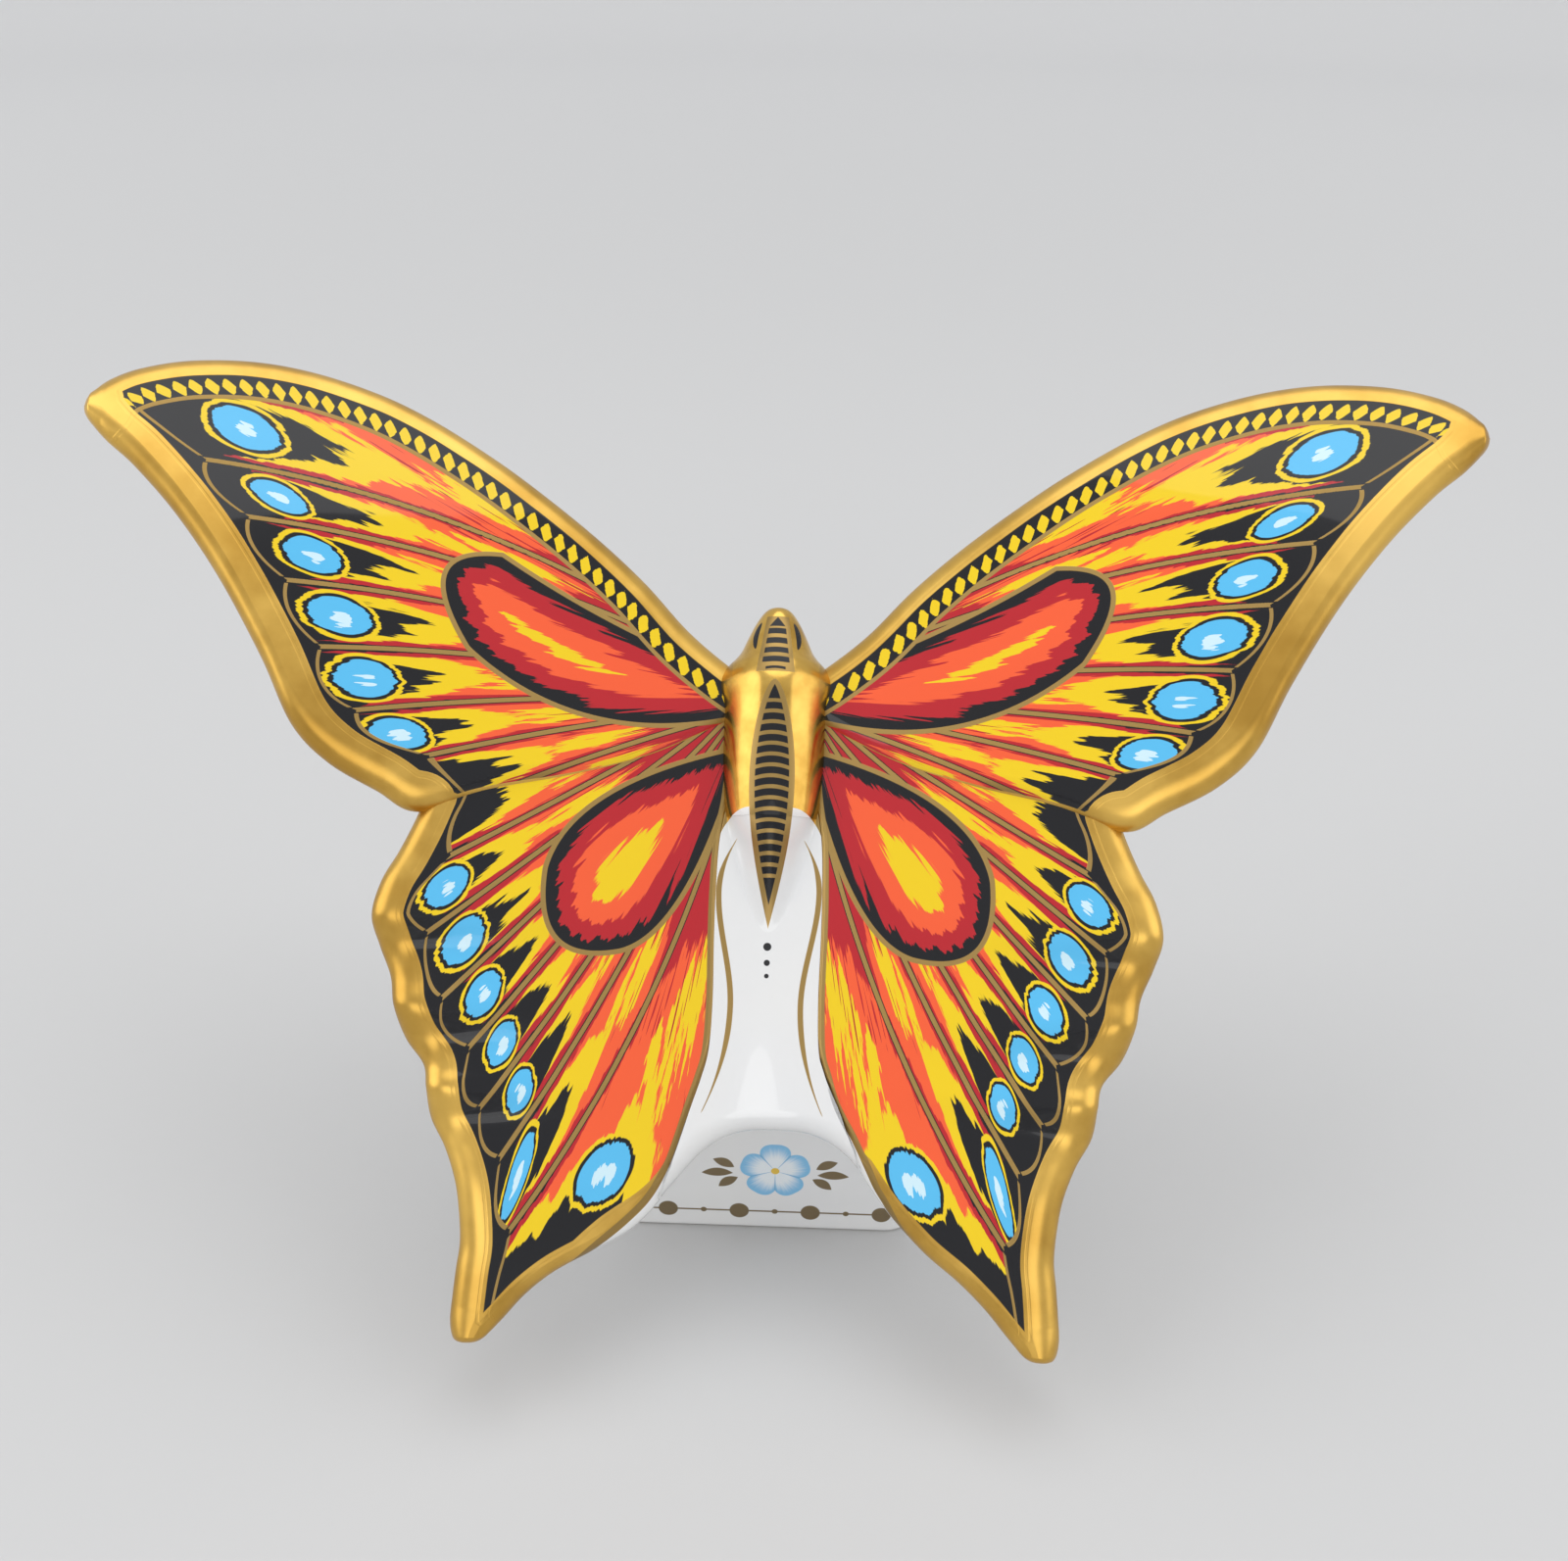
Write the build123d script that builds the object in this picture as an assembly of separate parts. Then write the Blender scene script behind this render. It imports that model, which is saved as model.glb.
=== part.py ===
from build123d import *
from math import cos, hypot, pi, radians, sin, tan
import os

# A butterfly ornament of gilded bone china, in millimetres.
# It stands on a hollow pedestal and leans back: X to the right, Y to the back, Z up.
# The origin is the middle of the foot, on the table.
# The wings are drawn on a wing surface of their own: u runs out from the body line,
# v runs up the lean from the tails, and n stands off the middle of the plate.
# The body is drawn on the body line: across, along (the same as v) and off to the front.

# Stance of the whole butterfly
lean = 51.0                 # angle between the table and the body line
dihedral = 16.0             # angle by which each pair of wings rises from the body line
axis_front = 32.6           # body line at the tails, in front of the foot's centre
axis_height = 3.3           # body line at the tails, above the table

# Wings
wing_height = 97.7          # tail tips to the top of the forewings, up the lean
forewing_reach = 71.9       # body line to the forewing's tip
hindwing_reach = 40.6       # body line to the widest point of the hindwing
wing_wall = 4.0             # thickness of the wing plates
wing_round = 2.6            # depth of the rounded edge, inwards from the outline
edge_facets = 4             # flats round the edge of a plate
camber_radius = 350.0       # the upper forewings bend back on this radius
wing_step = 0.9             # at the notch the forewing stands this far above the hindwing
ruffle = 0.75               # how far the hindwing's edge waves up and down

# Thorax, head and abdomen, round about a line in front of the body line
body_off = 1.0              # that line's distance from the body line
thorax_length = 15.8
thorax_radius = 5.75
head_length = 6.6
head_radius = 5.0           # where the head meets the thorax
abdomen_length = 13.6
body_facets = 28            # flats round each of these pieces
abdomen_radius = 5.45       # where the abdomen meets the thorax

# White panel with its arch
valley_radius = 24.0        # rounds the valley between the wings
arch_rise = 20.4            # crown of the arch, up the lean from the tails
arch_crown_radius = 9.0
arch_slope = 50.0           # angle at which the arch's legs fall
arch_half_span = 12.4       # half of the arch where its legs end
arch_lip = 1.1              # bevel of the arch's lips
lip_search_share = 0.01     # edges within this share of the bevel from the arch are its lips

# Pedestal
foot_width = 34.0
foot_depth = 30.0
foot_corner = 6.5
pedestal_height = 46.0      # the raw pedestal is cast this high, then cut to the wings
pedestal_top_width = 19.0
pedestal_top_depth = 10.0
pedestal_top_corner = 3.6
pedestal_bulge = 2.6        # the sides and the back swell by this much
pedestal_bands = 5
corner_facets = 5           # flats round each corner of the pedestal
pedestal_wall = 2.6
foot_recess = 1.3           # the middle of the foot is this far above the table
foot_ring = 2.8             # width of the ring that stands on the table
spare = 8.0                 # overrun of every cutting block

# Vent hole and its bung
vent_radius = 4.0
bung_clearance = 0.05       # between the bung and the vent hole
bung_flange = 1.4           # the flange is wider than the vent hole by this much all round
bung_flange_wall = 0.8
bung_overlap = 0.8          # the bung reaches this far past the pedestal's floor

# Forewing outline as shares of its reach and of the wing height, from root to tip:
# u and v on the lower edge, then u and v on the upper edge.
forewing_outline_share = [
    (0.018, 0.650, 0.018, 0.684),
    (0.084, 0.630, 0.070, 0.706),
    (0.195, 0.590, 0.136, 0.743),
    (0.306, 0.564, 0.204, 0.794),
    (0.419, 0.544, 0.281, 0.842),
    (0.513, 0.522, 0.371, 0.890),
    (0.570, 0.541, 0.441, 0.923),
    (0.638, 0.567, 0.526, 0.957),
    (0.690, 0.604, 0.604, 0.980),
    (0.737, 0.671, 0.697, 0.996),
    (0.801, 0.750, 0.783, 1.000),
    (0.865, 0.814, 0.868, 0.992),
    (0.926, 0.862, 0.932, 0.976),
    (0.968, 0.889, 0.972, 0.957),
    (0.990, 0.907, 0.992, 0.938),
    (0.999, 0.917, 0.999, 0.926),
]
notch_share = 0.513         # reach of the forewing's lower edge at the notch
step_root_share = 0.45      # share of the wing step that is left at the thorax
camber_start_share = 0.46   # the forewings bend back above this share of the wing height

# Hindwing outline as shares of its reach and of the wing height, from notch to tail:
# u and v on the inner edge, u and v on the outer edge, then the share of the ruffle.
hindwing_outline_share = [
    (0.04, 0.640, 0.890, 0.540, 0.0),
    (0.04, 0.585, 0.915, 0.511, 0.0),
    (0.04, 0.530, 0.946, 0.481, 0.2),
    (0.04, 0.475, 0.983, 0.450, 0.6),
    (0.05, 0.425, 1.000, 0.415, 1.0),
    (0.06, 0.388, 0.975, 0.385, -0.7),
    (0.07, 0.355, 0.945, 0.355, -0.2),
    (0.08, 0.325, 0.933, 0.325, 0.8),
    (0.10, 0.293, 0.898, 0.293, -0.9),
    (0.12, 0.268, 0.853, 0.268, -0.2),
    (0.14, 0.245, 0.844, 0.245, 0.8),
    (0.17, 0.215, 0.826, 0.215, -0.9),
    (0.20, 0.180, 0.790, 0.187, -0.2),
    (0.255, 0.138, 0.762, 0.155, 0.6),
    (0.325, 0.108, 0.748, 0.125, 0.7),
    (0.420, 0.086, 0.741, 0.095, 0.5),
    (0.510, 0.066, 0.746, 0.070, 0.3),
    (0.575, 0.045, 0.750, 0.045, 0.2),
    (0.630, 0.020, 0.752, 0.020, 0.0),
    (0.672, 0.003, 0.742, 0.003, 0.0),
]
ruffle_power = 3.0          # the ruffle fades in towards the edge as this power
ruffle_knee_share = 0.6     # place of the section's one point between its two edges
cap_limit_share = 0.42      # a rounded edge takes at most this share of a section

# Edge of the white panel as shares of the hindwing's reach and of the wing height,
# from the thorax down to the outside of the arch's leg
panel_edge_share = [
    (0.136, 0.545),
    (0.160, 0.470),
    (0.164, 0.400),
    (0.161, 0.340),
    (0.166, 0.282),
    (0.188, 0.235),
    (0.226, 0.200),
    (0.284, 0.166),
    (0.360, 0.146),
]

body_start_share = 0.545    # the thorax begins at this share of the wing height
body_start = body_start_share * wing_height

# Profiles of the round pieces as shares of their own radius and length, away from the tails
thorax_profile_share = [(0.948, 0.0), (1.0, 0.25), (1.0, 0.62), (0.95, 0.88), (0.87, 1.0)]
head_profile_share = [
    (1.0, 0.0),
    (0.88, 0.14),
    (0.71, 0.24),
    (0.57, 0.43),
    (0.48, 0.64),
    (0.34, 0.85),
    (0.20, 0.95),
    (0.05, 1.0),
]
abdomen_profile_share = [(0.12, 0.0), (0.37, 0.10), (0.61, 0.40), (0.84, 0.69), (1.0, 1.0)]


def lean_point(across, along, off):
    """Point across the body, along the body line and off it to the front."""
    y = -axis_front + along * cos(radians(lean)) - off * sin(radians(lean))
    z = axis_height + along * sin(radians(lean)) + off * cos(radians(lean))
    return Vector(across, y, z)


def lean_way(across, along, off):
    """Direction given in the body's own axes."""
    return lean_point(across, along, off) - lean_point(0, 0, 0)


def camber(v):
    """How far the wing surface has bent back at height v."""
    above = max(v - camber_start_share * wing_height, 0)
    return above * above / (2 * camber_radius)


def wing_point(u, v, n):
    """Point of the right wing: u outwards, v up the lean, n off the middle of the plate."""
    height = n - camber(v)
    across = u * cos(radians(dihedral)) - height * sin(radians(dihedral))
    off = u * sin(radians(dihedral)) + height * cos(radians(dihedral))
    return lean_point(across, v, off)


def smooth_stations(rows):
    """The hand-chosen stations, with one more between each two on a Catmull-Rom curve."""
    stations = []
    last = len(rows) - 1
    for index in range(last):
        before = rows[max(index - 1, 0)]
        after = rows[min(index + 2, last)]
        quads = zip(before, rows[index], rows[index + 1], after)
        between = tuple((9 * (b + c) - a - d) / 16 for a, b, c, d in quads)
        stations += [rows[index], between]
    return stations + [rows[last]]


def plate_wire(inner, outer, lift, knees):
    """Closed section of a plate between two outline points (u, v), with rounded edges.

    The lift gives the height of the plate's middle at a share of the way out, and the
    knees are the shares of the flat stretch at which the section has a point of its own.
    """
    run = hypot(outer[0] - inner[0], outer[1] - inner[1])
    cap = min(wing_round, run * cap_limit_share)
    half = min(wing_wall, run) / 2

    def at(distance, n):
        share = distance / run
        u = inner[0] + (outer[0] - inner[0]) * share
        v = inner[1] + (outer[1] - inner[1]) * share
        return wing_point(u, v, lift(share) + n)

    stops = [cap] + [cap + (run - 2 * cap) * knee for knee in knees] + [run - cap]
    turns = [pi * step / edge_facets for step in range(1, edge_facets)]
    points = [at(stop, half) for stop in stops]
    points += [at(run - cap + cap * sin(turn), half * cos(turn)) for turn in turns]
    points += [at(stop, -half) for stop in reversed(stops)]
    points += [at(cap - cap * sin(turn), -half * cos(turn)) for turn in turns]
    return Wire([Line(a, b) for a, b in zip(points, points[1:] + points[:1])])


def forewing_plate():
    """Right forewing, lofted from the root to the tip; its root ends inside the thorax."""
    wires = []
    for lower_u, lower_v, upper_u, upper_v in smooth_stations(forewing_outline_share):
        lower = (lower_u * forewing_reach, lower_v * wing_height)
        upper = (upper_u * forewing_reach, upper_v * wing_height)
        outwards = min(lower_u / notch_share, 1)
        step = wing_step * (step_root_share + (1 - step_root_share) * outwards)
        wires.append(plate_wire(lower, upper, lambda share: step * (1 - share), []))
    return Solid.make_loft(wires, ruled=True)


def hindwing_plate():
    """Right hindwing, lofted from under the forewing down to the tail."""
    wires = []
    for inner_u, inner_v, outer_u, outer_v, wave in smooth_stations(hindwing_outline_share):
        inner = (inner_u * hindwing_reach, inner_v * wing_height)
        outer = (outer_u * hindwing_reach, outer_v * wing_height)
        rise = wave * ruffle
        wires.append(plate_wire(inner, outer, lambda share: rise * share**ruffle_power, [ruffle_knee_share]))
    return Solid.make_loft(wires, ruled=True)


def round_piece(profile_share, radius, start, length):
    """Solid round about the body's own line, from shares of its radius and length."""
    turns = [2 * pi * step / body_facets for step in range(body_facets)]
    rings = []
    for out, up in profile_share:
        ring = [
            lean_point(radius * out * cos(turn), start + length * up, body_off + radius * out * sin(turn))
            for turn in turns
        ]
        rings.append(Wire([Line(a, b) for a, b in zip(ring, ring[1:] + ring[:1])]))
    return Solid.make_loft(rings, ruled=True)


def lean_prism(outline):
    """Solid that follows an outline on the body plane, through the whole butterfly."""
    face = Face(Wire(outline)).moved(Location(lean_way(0, 0, -hindwing_reach)))
    return Solid.extrude(face, lean_way(0, 0, 2 * hindwing_reach))


def arch_outline():
    """The arch's right foot, legs and crown, and its left foot, on the body plane."""
    turn = radians(arch_slope)
    across = arch_crown_radius * sin(turn)
    drop = arch_crown_radius * (1 - cos(turn))
    fall = (arch_half_span - across) * tan(turn)
    crown = lean_point(0, arch_rise, 0)
    right = lean_point(across, arch_rise - drop, 0)
    left = lean_point(-across, arch_rise - drop, 0)
    right_foot = lean_point(arch_half_span, arch_rise - drop - fall, 0)
    left_foot = lean_point(-arch_half_span, arch_rise - drop - fall, 0)
    return [Line(right_foot, right), ThreePointArc(right, crown, left), Line(left, left_foot)]


def panel_region(base):
    """Region of the white panel on the body plane, down to a base from its right to its left foot."""
    points = [(u * hindwing_reach, v * wing_height) for u, v in panel_edge_share]
    right = [lean_point(across, along, 0) for across, along in points]
    left = [lean_point(-across, along, 0) for across, along in reversed(points)]
    corners = [base[-1] @ 1] + left + right + [base[0] @ 0]
    return lean_prism([Line(a, b) for a, b in zip(corners, corners[1:])] + base)


def valley_line(n, radius):
    """Right half of the wings' valley at height n: middle, end of its rounding, and far out."""
    turn = radians(dihedral)
    floor = n / cos(turn)
    far = arch_half_span + spare
    across = radius * sin(turn)
    middle = (0, floor + radius / cos(turn) - radius)
    return [middle, (across, floor + across * tan(turn)), (far, floor + far * tan(turn))]


def panel_slab():
    """The two wing plates joined by a rounded valley, along the whole body line."""
    corners = []
    edges = []
    for n, radius in ((wing_wall / 2, valley_radius), (-wing_wall / 2, valley_radius + wing_wall)):
        middle, end, far = valley_line(n, radius)
        right_far = lean_point(far[0], 0, far[1])
        right_end = lean_point(end[0], 0, end[1])
        left_end = lean_point(-end[0], 0, end[1])
        left_far = lean_point(-far[0], 0, far[1])
        edges += [Line(left_far, left_end), Line(right_end, right_far)]
        edges.append(ThreePointArc(left_end, lean_point(0, 0, middle[1]), right_end))
        corners.append((left_far, right_far))
    edges += [Line(corners[0][side], corners[1][side]) for side in (0, 1)]
    return Solid.extrude(Face(Wire(edges)), lean_way(0, wing_height, 0))


def make_panel(thorax):
    """White panel between the hindwings, with an arch of bevelled lips cut in its foot."""
    arch = arch_outline()
    panel = ((panel_slab() & panel_region(arch)) - thorax).solid()
    off = lean_way(0, 0, 1)
    lips = []
    for edge in panel.edges():
        middle = edge @ 0.5
        flat = middle - off * (middle - lean_point(0, 0, 0)).dot(off)
        on_arch = Wire(arch).distance_to(flat) < arch_lip * lip_search_share
        if on_arch and abs((edge % 0.5).dot(off)) < cos(radians(arch_slope)):
            lips.append(edge)
    return panel.chamfer(arch_lip, None, lips)


def pedestal_wire(height, inset):
    """Rounded rectangle of the pedestal at a height; its front is upright and flat."""
    share = height / pedestal_height
    swell = 4 * pedestal_bulge * share * (1 - share)
    width = foot_width + (pedestal_top_width - foot_width) * share + 2 * swell - 2 * inset
    depth = foot_depth + (pedestal_top_depth - foot_depth) * share + swell - 2 * inset
    corner = foot_corner + (pedestal_top_corner - foot_corner) * share - inset
    front = inset - foot_depth / 2
    centres = [(1, 1), (-1, 1), (-1, -1), (1, -1)]
    points = []
    for quarter, (right, back) in enumerate(centres):
        x = right * (width / 2 - corner)
        y = front + depth / 2 + back * (depth / 2 - corner)
        for step in range(corner_facets + 1):
            turn = pi / 2 * (quarter + step / corner_facets)
            points.append(Vector(x + corner * cos(turn), y + corner * sin(turn), height))
    return Wire([Line(a, b) for a, b in zip(points, points[1:] + points[:1])])


def pedestal_loft(low, inset):
    """The pedestal's outside, or its hollow when it is set in by the wall."""
    step = (pedestal_height - low) / pedestal_bands
    heights = [low + step * band for band in range(pedestal_bands + 1)]
    return Solid.make_loft([pedestal_wire(height, inset) for height in heights], ruled=True)


def above_wings(drop):
    """Everything above the valley of the wings' middle surfaces, lowered by a drop."""
    size = 2 * forewing_reach
    turn = radians(dihedral)
    block = Box(2 * size, 2 * size, size, align=(Align.CENTER, Align.CENTER, Align.MIN))
    origin = lean_point(0, 0, -drop)
    right = Plane(origin, lean_way(cos(turn), 0, sin(turn)), lean_way(-sin(turn), 0, cos(turn)))
    left = Plane(origin, lean_way(cos(turn), 0, -sin(turn)), lean_way(sin(turn), 0, cos(turn)))
    return (right * block) & (left * block)


def make_pedestal(neighbours):
    """Hollow pedestal, cut to what it carries, with a foot ring and a vent hole."""
    floor = foot_recess + pedestal_wall
    hollow = pedestal_loft(floor, pedestal_wall) - above_wings(pedestal_wall + wing_wall / 2)
    upwards = (Align.CENTER, Align.CENTER, Align.MIN)
    ring_plan = RectangleRounded(
        foot_width - 2 * foot_ring, foot_depth - 2 * foot_ring, foot_corner - foot_ring
    )
    pedestal = pedestal_loft(0, 0) - above_wings(0) - hollow
    for neighbour in neighbours:
        pedestal -= neighbour
    pedestal -= extrude(ring_plan, foot_recess)
    pedestal -= Cylinder(vent_radius, floor, align=upwards)
    return pedestal.solid()


def make_bung():
    """Soft bung of the vent hole; its flange lies against the floor, clear of the table."""
    shank = vent_radius - bung_clearance
    flange = vent_radius + bung_flange
    bottom = foot_recess - bung_flange_wall
    top = foot_recess + pedestal_wall + bung_overlap
    upwards = (Align.CENTER, Align.CENTER, Align.MIN)
    plate = Pos(0, 0, bottom) * Cylinder(flange, bung_flange_wall, align=upwards)
    return (plate + Pos(0, 0, foot_recess) * Cylinder(shank, top - foot_recess, align=upwards)).solid()


os.makedirs("parts", exist_ok=True)

thorax = round_piece(thorax_profile_share, thorax_radius, body_start, thorax_length)
head = round_piece(head_profile_share, head_radius, body_start + thorax_length, head_length)
spindle = round_piece(abdomen_profile_share, abdomen_radius, body_start - abdomen_length, abdomen_length)
panel = make_panel(thorax)
foot_line = [Line(arch_outline()[0] @ 0, arch_outline()[-1] @ 1)]

right_forewing = (forewing_plate() - thorax - head).solid()
right_hindwing = hindwing_plate() - right_forewing - thorax - head - spindle
right_hindwing = (right_hindwing - panel_region(foot_line)).solid()
left_hindwing = right_hindwing.mirror(Plane.YZ)

parts = {
    "right_forewing": right_forewing,
    "left_forewing": right_forewing.mirror(Plane.YZ),
    "right_hindwing": right_hindwing,
    "left_hindwing": left_hindwing,
    "thorax": thorax,
    "head": head,
    "abdomen": ((spindle & above_wings(0)) - panel).solid(),
    "back_panel": panel,
    "pedestal": make_pedestal([panel, right_hindwing, left_hindwing, thorax]),
    "vent_bung": make_bung(),
}
for name, solid in parts.items():
    export_step(solid, f"parts/{name}.step")
    print(name, solid.is_valid, round(solid.volume))
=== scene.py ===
# %% [markdown]
# A butterfly ornament of gilded bone china.
# The real one is slip-cast: four thin wing plates, a body and a hollow foot are stuck together with
# slip, fired, glazed, covered with a printed decal, and gilded along every edge. This file dresses the
# measured model of it. Every visible piece is a smooth shell worked out with numpy from the model's
# measures, because the model's own faces are flat facets. They are in millimetres, and a mesh is
# scaled to metres only as it is made.

import math
from functools import partialmethod

import bmesh
import bpy
import numpy as np
from mathutils import Matrix, Vector


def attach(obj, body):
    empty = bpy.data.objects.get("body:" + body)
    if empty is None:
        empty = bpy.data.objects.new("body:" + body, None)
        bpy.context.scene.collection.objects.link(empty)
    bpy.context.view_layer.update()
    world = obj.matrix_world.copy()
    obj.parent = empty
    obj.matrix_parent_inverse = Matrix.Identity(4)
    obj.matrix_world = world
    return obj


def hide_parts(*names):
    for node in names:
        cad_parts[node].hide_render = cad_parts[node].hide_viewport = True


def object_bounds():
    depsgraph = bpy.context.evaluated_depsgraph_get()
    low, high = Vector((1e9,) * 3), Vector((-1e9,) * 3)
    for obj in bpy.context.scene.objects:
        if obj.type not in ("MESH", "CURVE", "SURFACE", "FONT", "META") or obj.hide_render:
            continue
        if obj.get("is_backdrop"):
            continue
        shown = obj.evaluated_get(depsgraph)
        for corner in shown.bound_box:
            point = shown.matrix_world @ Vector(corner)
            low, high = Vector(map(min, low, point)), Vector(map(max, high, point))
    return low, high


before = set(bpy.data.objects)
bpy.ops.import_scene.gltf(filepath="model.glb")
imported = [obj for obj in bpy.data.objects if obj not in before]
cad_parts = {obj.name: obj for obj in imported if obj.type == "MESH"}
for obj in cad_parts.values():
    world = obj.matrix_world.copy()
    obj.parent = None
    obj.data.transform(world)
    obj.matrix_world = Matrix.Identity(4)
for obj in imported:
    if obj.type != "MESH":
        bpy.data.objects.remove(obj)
cad_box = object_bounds()
print("nodes:", sorted(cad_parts))

# %% [markdown]
# The ornament leans back. A point of it is given in the body's own axes: across to the right, along
# the body line up from the tails, and off that line to the front. One function turns these into the
# upright world, and a second one takes a point of a wing plate to the body's axes first.

# %% Places on the body and on the wings
lean, dihedral = math.radians(51), math.radians(16)
axis_front, axis_height = 32.6, 3.3
wing_height, forewing_reach, hindwing_reach = 97.7, 71.9, 40.6
wing_wall, wing_round, camber_radius = 4.0, 2.6, 350.0


def lean_point(across, along, off):
    """World point of (across, along, off): the body line rises at the lean, off is square to it."""
    y = -axis_front + along * math.cos(lean) - off * math.sin(lean)
    z = axis_height + along * math.sin(lean) + off * math.cos(lean)
    return np.stack(np.broadcast_arrays(across, y, z), -1)


def bend_back(v):
    """How far the plates lie back at v: a parabola, (v - start)^2 / (2 radius) above its start."""
    return np.maximum(v - 0.46 * wing_height, 0) ** 2 / (2 * camber_radius)


def wing_point(u, v, n):
    """World point of the right wing at u out, v up and n off the plate, the upper part bent back."""
    height = n - bend_back(v)
    across = u * math.cos(dihedral) - height * math.sin(dihedral)
    off = u * math.sin(dihedral) + height * math.cos(dihedral)
    return lean_point(across, v, off)


print("head end of the body line:", lean_point(0.0, wing_height, 0.0).round(1))

# %% [markdown]
# Listed stations describe each outline. A Catmull-Rom curve runs through them, and its points
# are then spaced evenly, because an even grid carries a pattern evenly.

# %% Smooth curves through a few stations


def through(rows, count, ease=0.0):
    """Catmull-Rom curve through the rows, with count points at even steps of its length.

    ease draws the points together towards the end, by mixing in a quarter wave of a sine.
    """
    rows = np.asarray(rows, float)
    time = np.linspace(0, len(rows) - 1, 40 * len(rows))
    start = np.minimum(time.astype(int), len(rows) - 2)
    part = (time - start)[:, None]
    a, b, c, d = (rows[np.clip(start + step, 0, len(rows) - 1)] for step in (-1, 0, 1, 2))
    curve = b + part * (c - a) / 2 + part**2 * (a - 2.5 * b + 2 * c - d / 2)
    curve += part**3 * (1.5 * (b - c) + (d - a) / 2)
    moves = np.linalg.norm(np.diff(curve, axis=0), axis=1)
    length = np.r_[0, np.cumsum(moves)]
    share = np.linspace(0, 1, count)
    places = length[-1] * ((1 - ease) * share + ease * np.sin(np.pi / 2 * share))
    return np.stack([np.interp(places, length, column) for column in curve.T], -1)


def away(points, line):
    """Distance from each (u, v) to a polyline, and the share of its length at the nearest place."""
    ends, ways = line[:-1], np.diff(line, axis=0)
    squares = np.maximum((ways**2).sum(1), 1e-12)
    marks = np.r_[0, np.cumsum(np.sqrt(squares))]
    near, share = [], []
    for some in np.array_split(points, max(len(points) // 2000, 1)):
        apart = some[:, None] - ends
        along = np.clip((apart * ways).sum(2) / squares, 0, 1)
        gaps = np.linalg.norm(apart - along[..., None] * ways, axis=2)
        best = gaps.argmin(1)
        rows = np.arange(len(some))
        near.append(gaps[rows, best])
        share.append((marks[best] + along[rows, best] * np.sqrt(squares[best])) / marks[-1])
    return np.concatenate(near), np.concatenate(share)


def eased(share):
    """A soft step: 0 at a share of 0 or less, 1 at 1 or more, level at both."""
    share = np.clip(share, 0, 1)
    return share**2 * (3 - 2 * share)


print("a curve through 3 rows:", through([(0, 0), (1, 1), (2, 0)], 5).round(2).tolist())

# %% [markdown]
# A grid of points becomes a mesh. Its columns close on themselves, open ends get a lid, and points
# that fall together at a pole or a seam are merged, so that every shell is watertight. Numbers that
# the paint needs, such as the distance from a vein, ride along as attributes of the vertices. A lathe
# makes the grid of a round piece: its profile is (r, z), and its points are (r cos t, r sin t, z).

# %% From a grid of points to a mesh


def grid_mesh(name, points):
    """Mesh of a (rows, columns, 3) grid in millimetres; the last column joins on to the first."""
    index = np.arange(points[..., 0].size).reshape(points.shape[:2])
    nexts = np.roll(index, -1, 1)
    quads = np.stack([index[:-1], nexts[:-1], nexts[1:], index[1:]], -1).reshape(-1, 4)
    mesh = bpy.data.meshes.new(name)
    mesh.from_pydata(points.reshape(-1, 3) * 0.001, [], quads.tolist())
    return mesh


def lathe(profile, turns):
    """Grid of a profile of (radius, height) rows, turned about the upright axis."""
    radius, height = np.array(profile).T[..., None]
    return np.stack([radius * np.cos(turns), radius * np.sin(turns), height + 0 * turns], -1)


def close_shell(mesh):
    """Merges doubled points, closes open rims with a sharp edge and turns faces outwards."""
    shell = bmesh.new()
    shell.from_mesh(mesh)
    bmesh.ops.remove_doubles(shell, verts=shell.verts, dist=2e-6)
    bmesh.ops.dissolve_degenerate(shell, dist=1e-7, edges=shell.edges)
    rims = [edge for edge in shell.edges if edge.is_boundary]
    if rims:
        bmesh.ops.holes_fill(shell, edges=rims, sides=0)
        for edge in rims:
            edge.smooth = False
    bmesh.ops.triangulate(shell, faces=[face for face in shell.faces if len(face.verts) > 4])
    open_edges = sum(not edge.is_manifold for edge in shell.edges)
    volume = shell.calc_volume(signed=True)
    if volume < 0:
        bmesh.ops.reverse_faces(shell, faces=shell.faces)
    shell.to_mesh(mesh)
    shell.free()
    return open_edges, round(abs(volume) * 1e9)


def grid_piece(name, points, slot_name, replaces, **numbers):
    """Visible piece on a grid, with numbers for its paint on the vertices."""
    mesh = grid_mesh(name, points)
    for label, values in numbers.items():
        data = mesh.attributes.new(label, "FLOAT", "POINT").data
        data.foreach_set("value", np.ravel(values).astype(float))
    open_edges, volume = close_shell(mesh)
    mesh.polygons.foreach_set("use_smooth", np.ones(len(mesh.polygons), bool))
    piece = bpy.data.objects.new(name, mesh)
    bpy.context.scene.collection.objects.link(piece)
    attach(piece, "root")
    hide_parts(*replaces)
    print(name, len(mesh.polygons), "faces,", open_edges, "open edges,", volume, "mm3")
    return piece


# %% [markdown]
# Each wing is a cast plate 4 mm thick with a rounded edge. A section runs from its inner to its outer
# outline: over the front, round the outer edge as half an ellipse, back along the rear, and round the
# inner edge. Carried along the outlines, the section closes into one shell.

# %% A plate between two outlines


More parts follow.
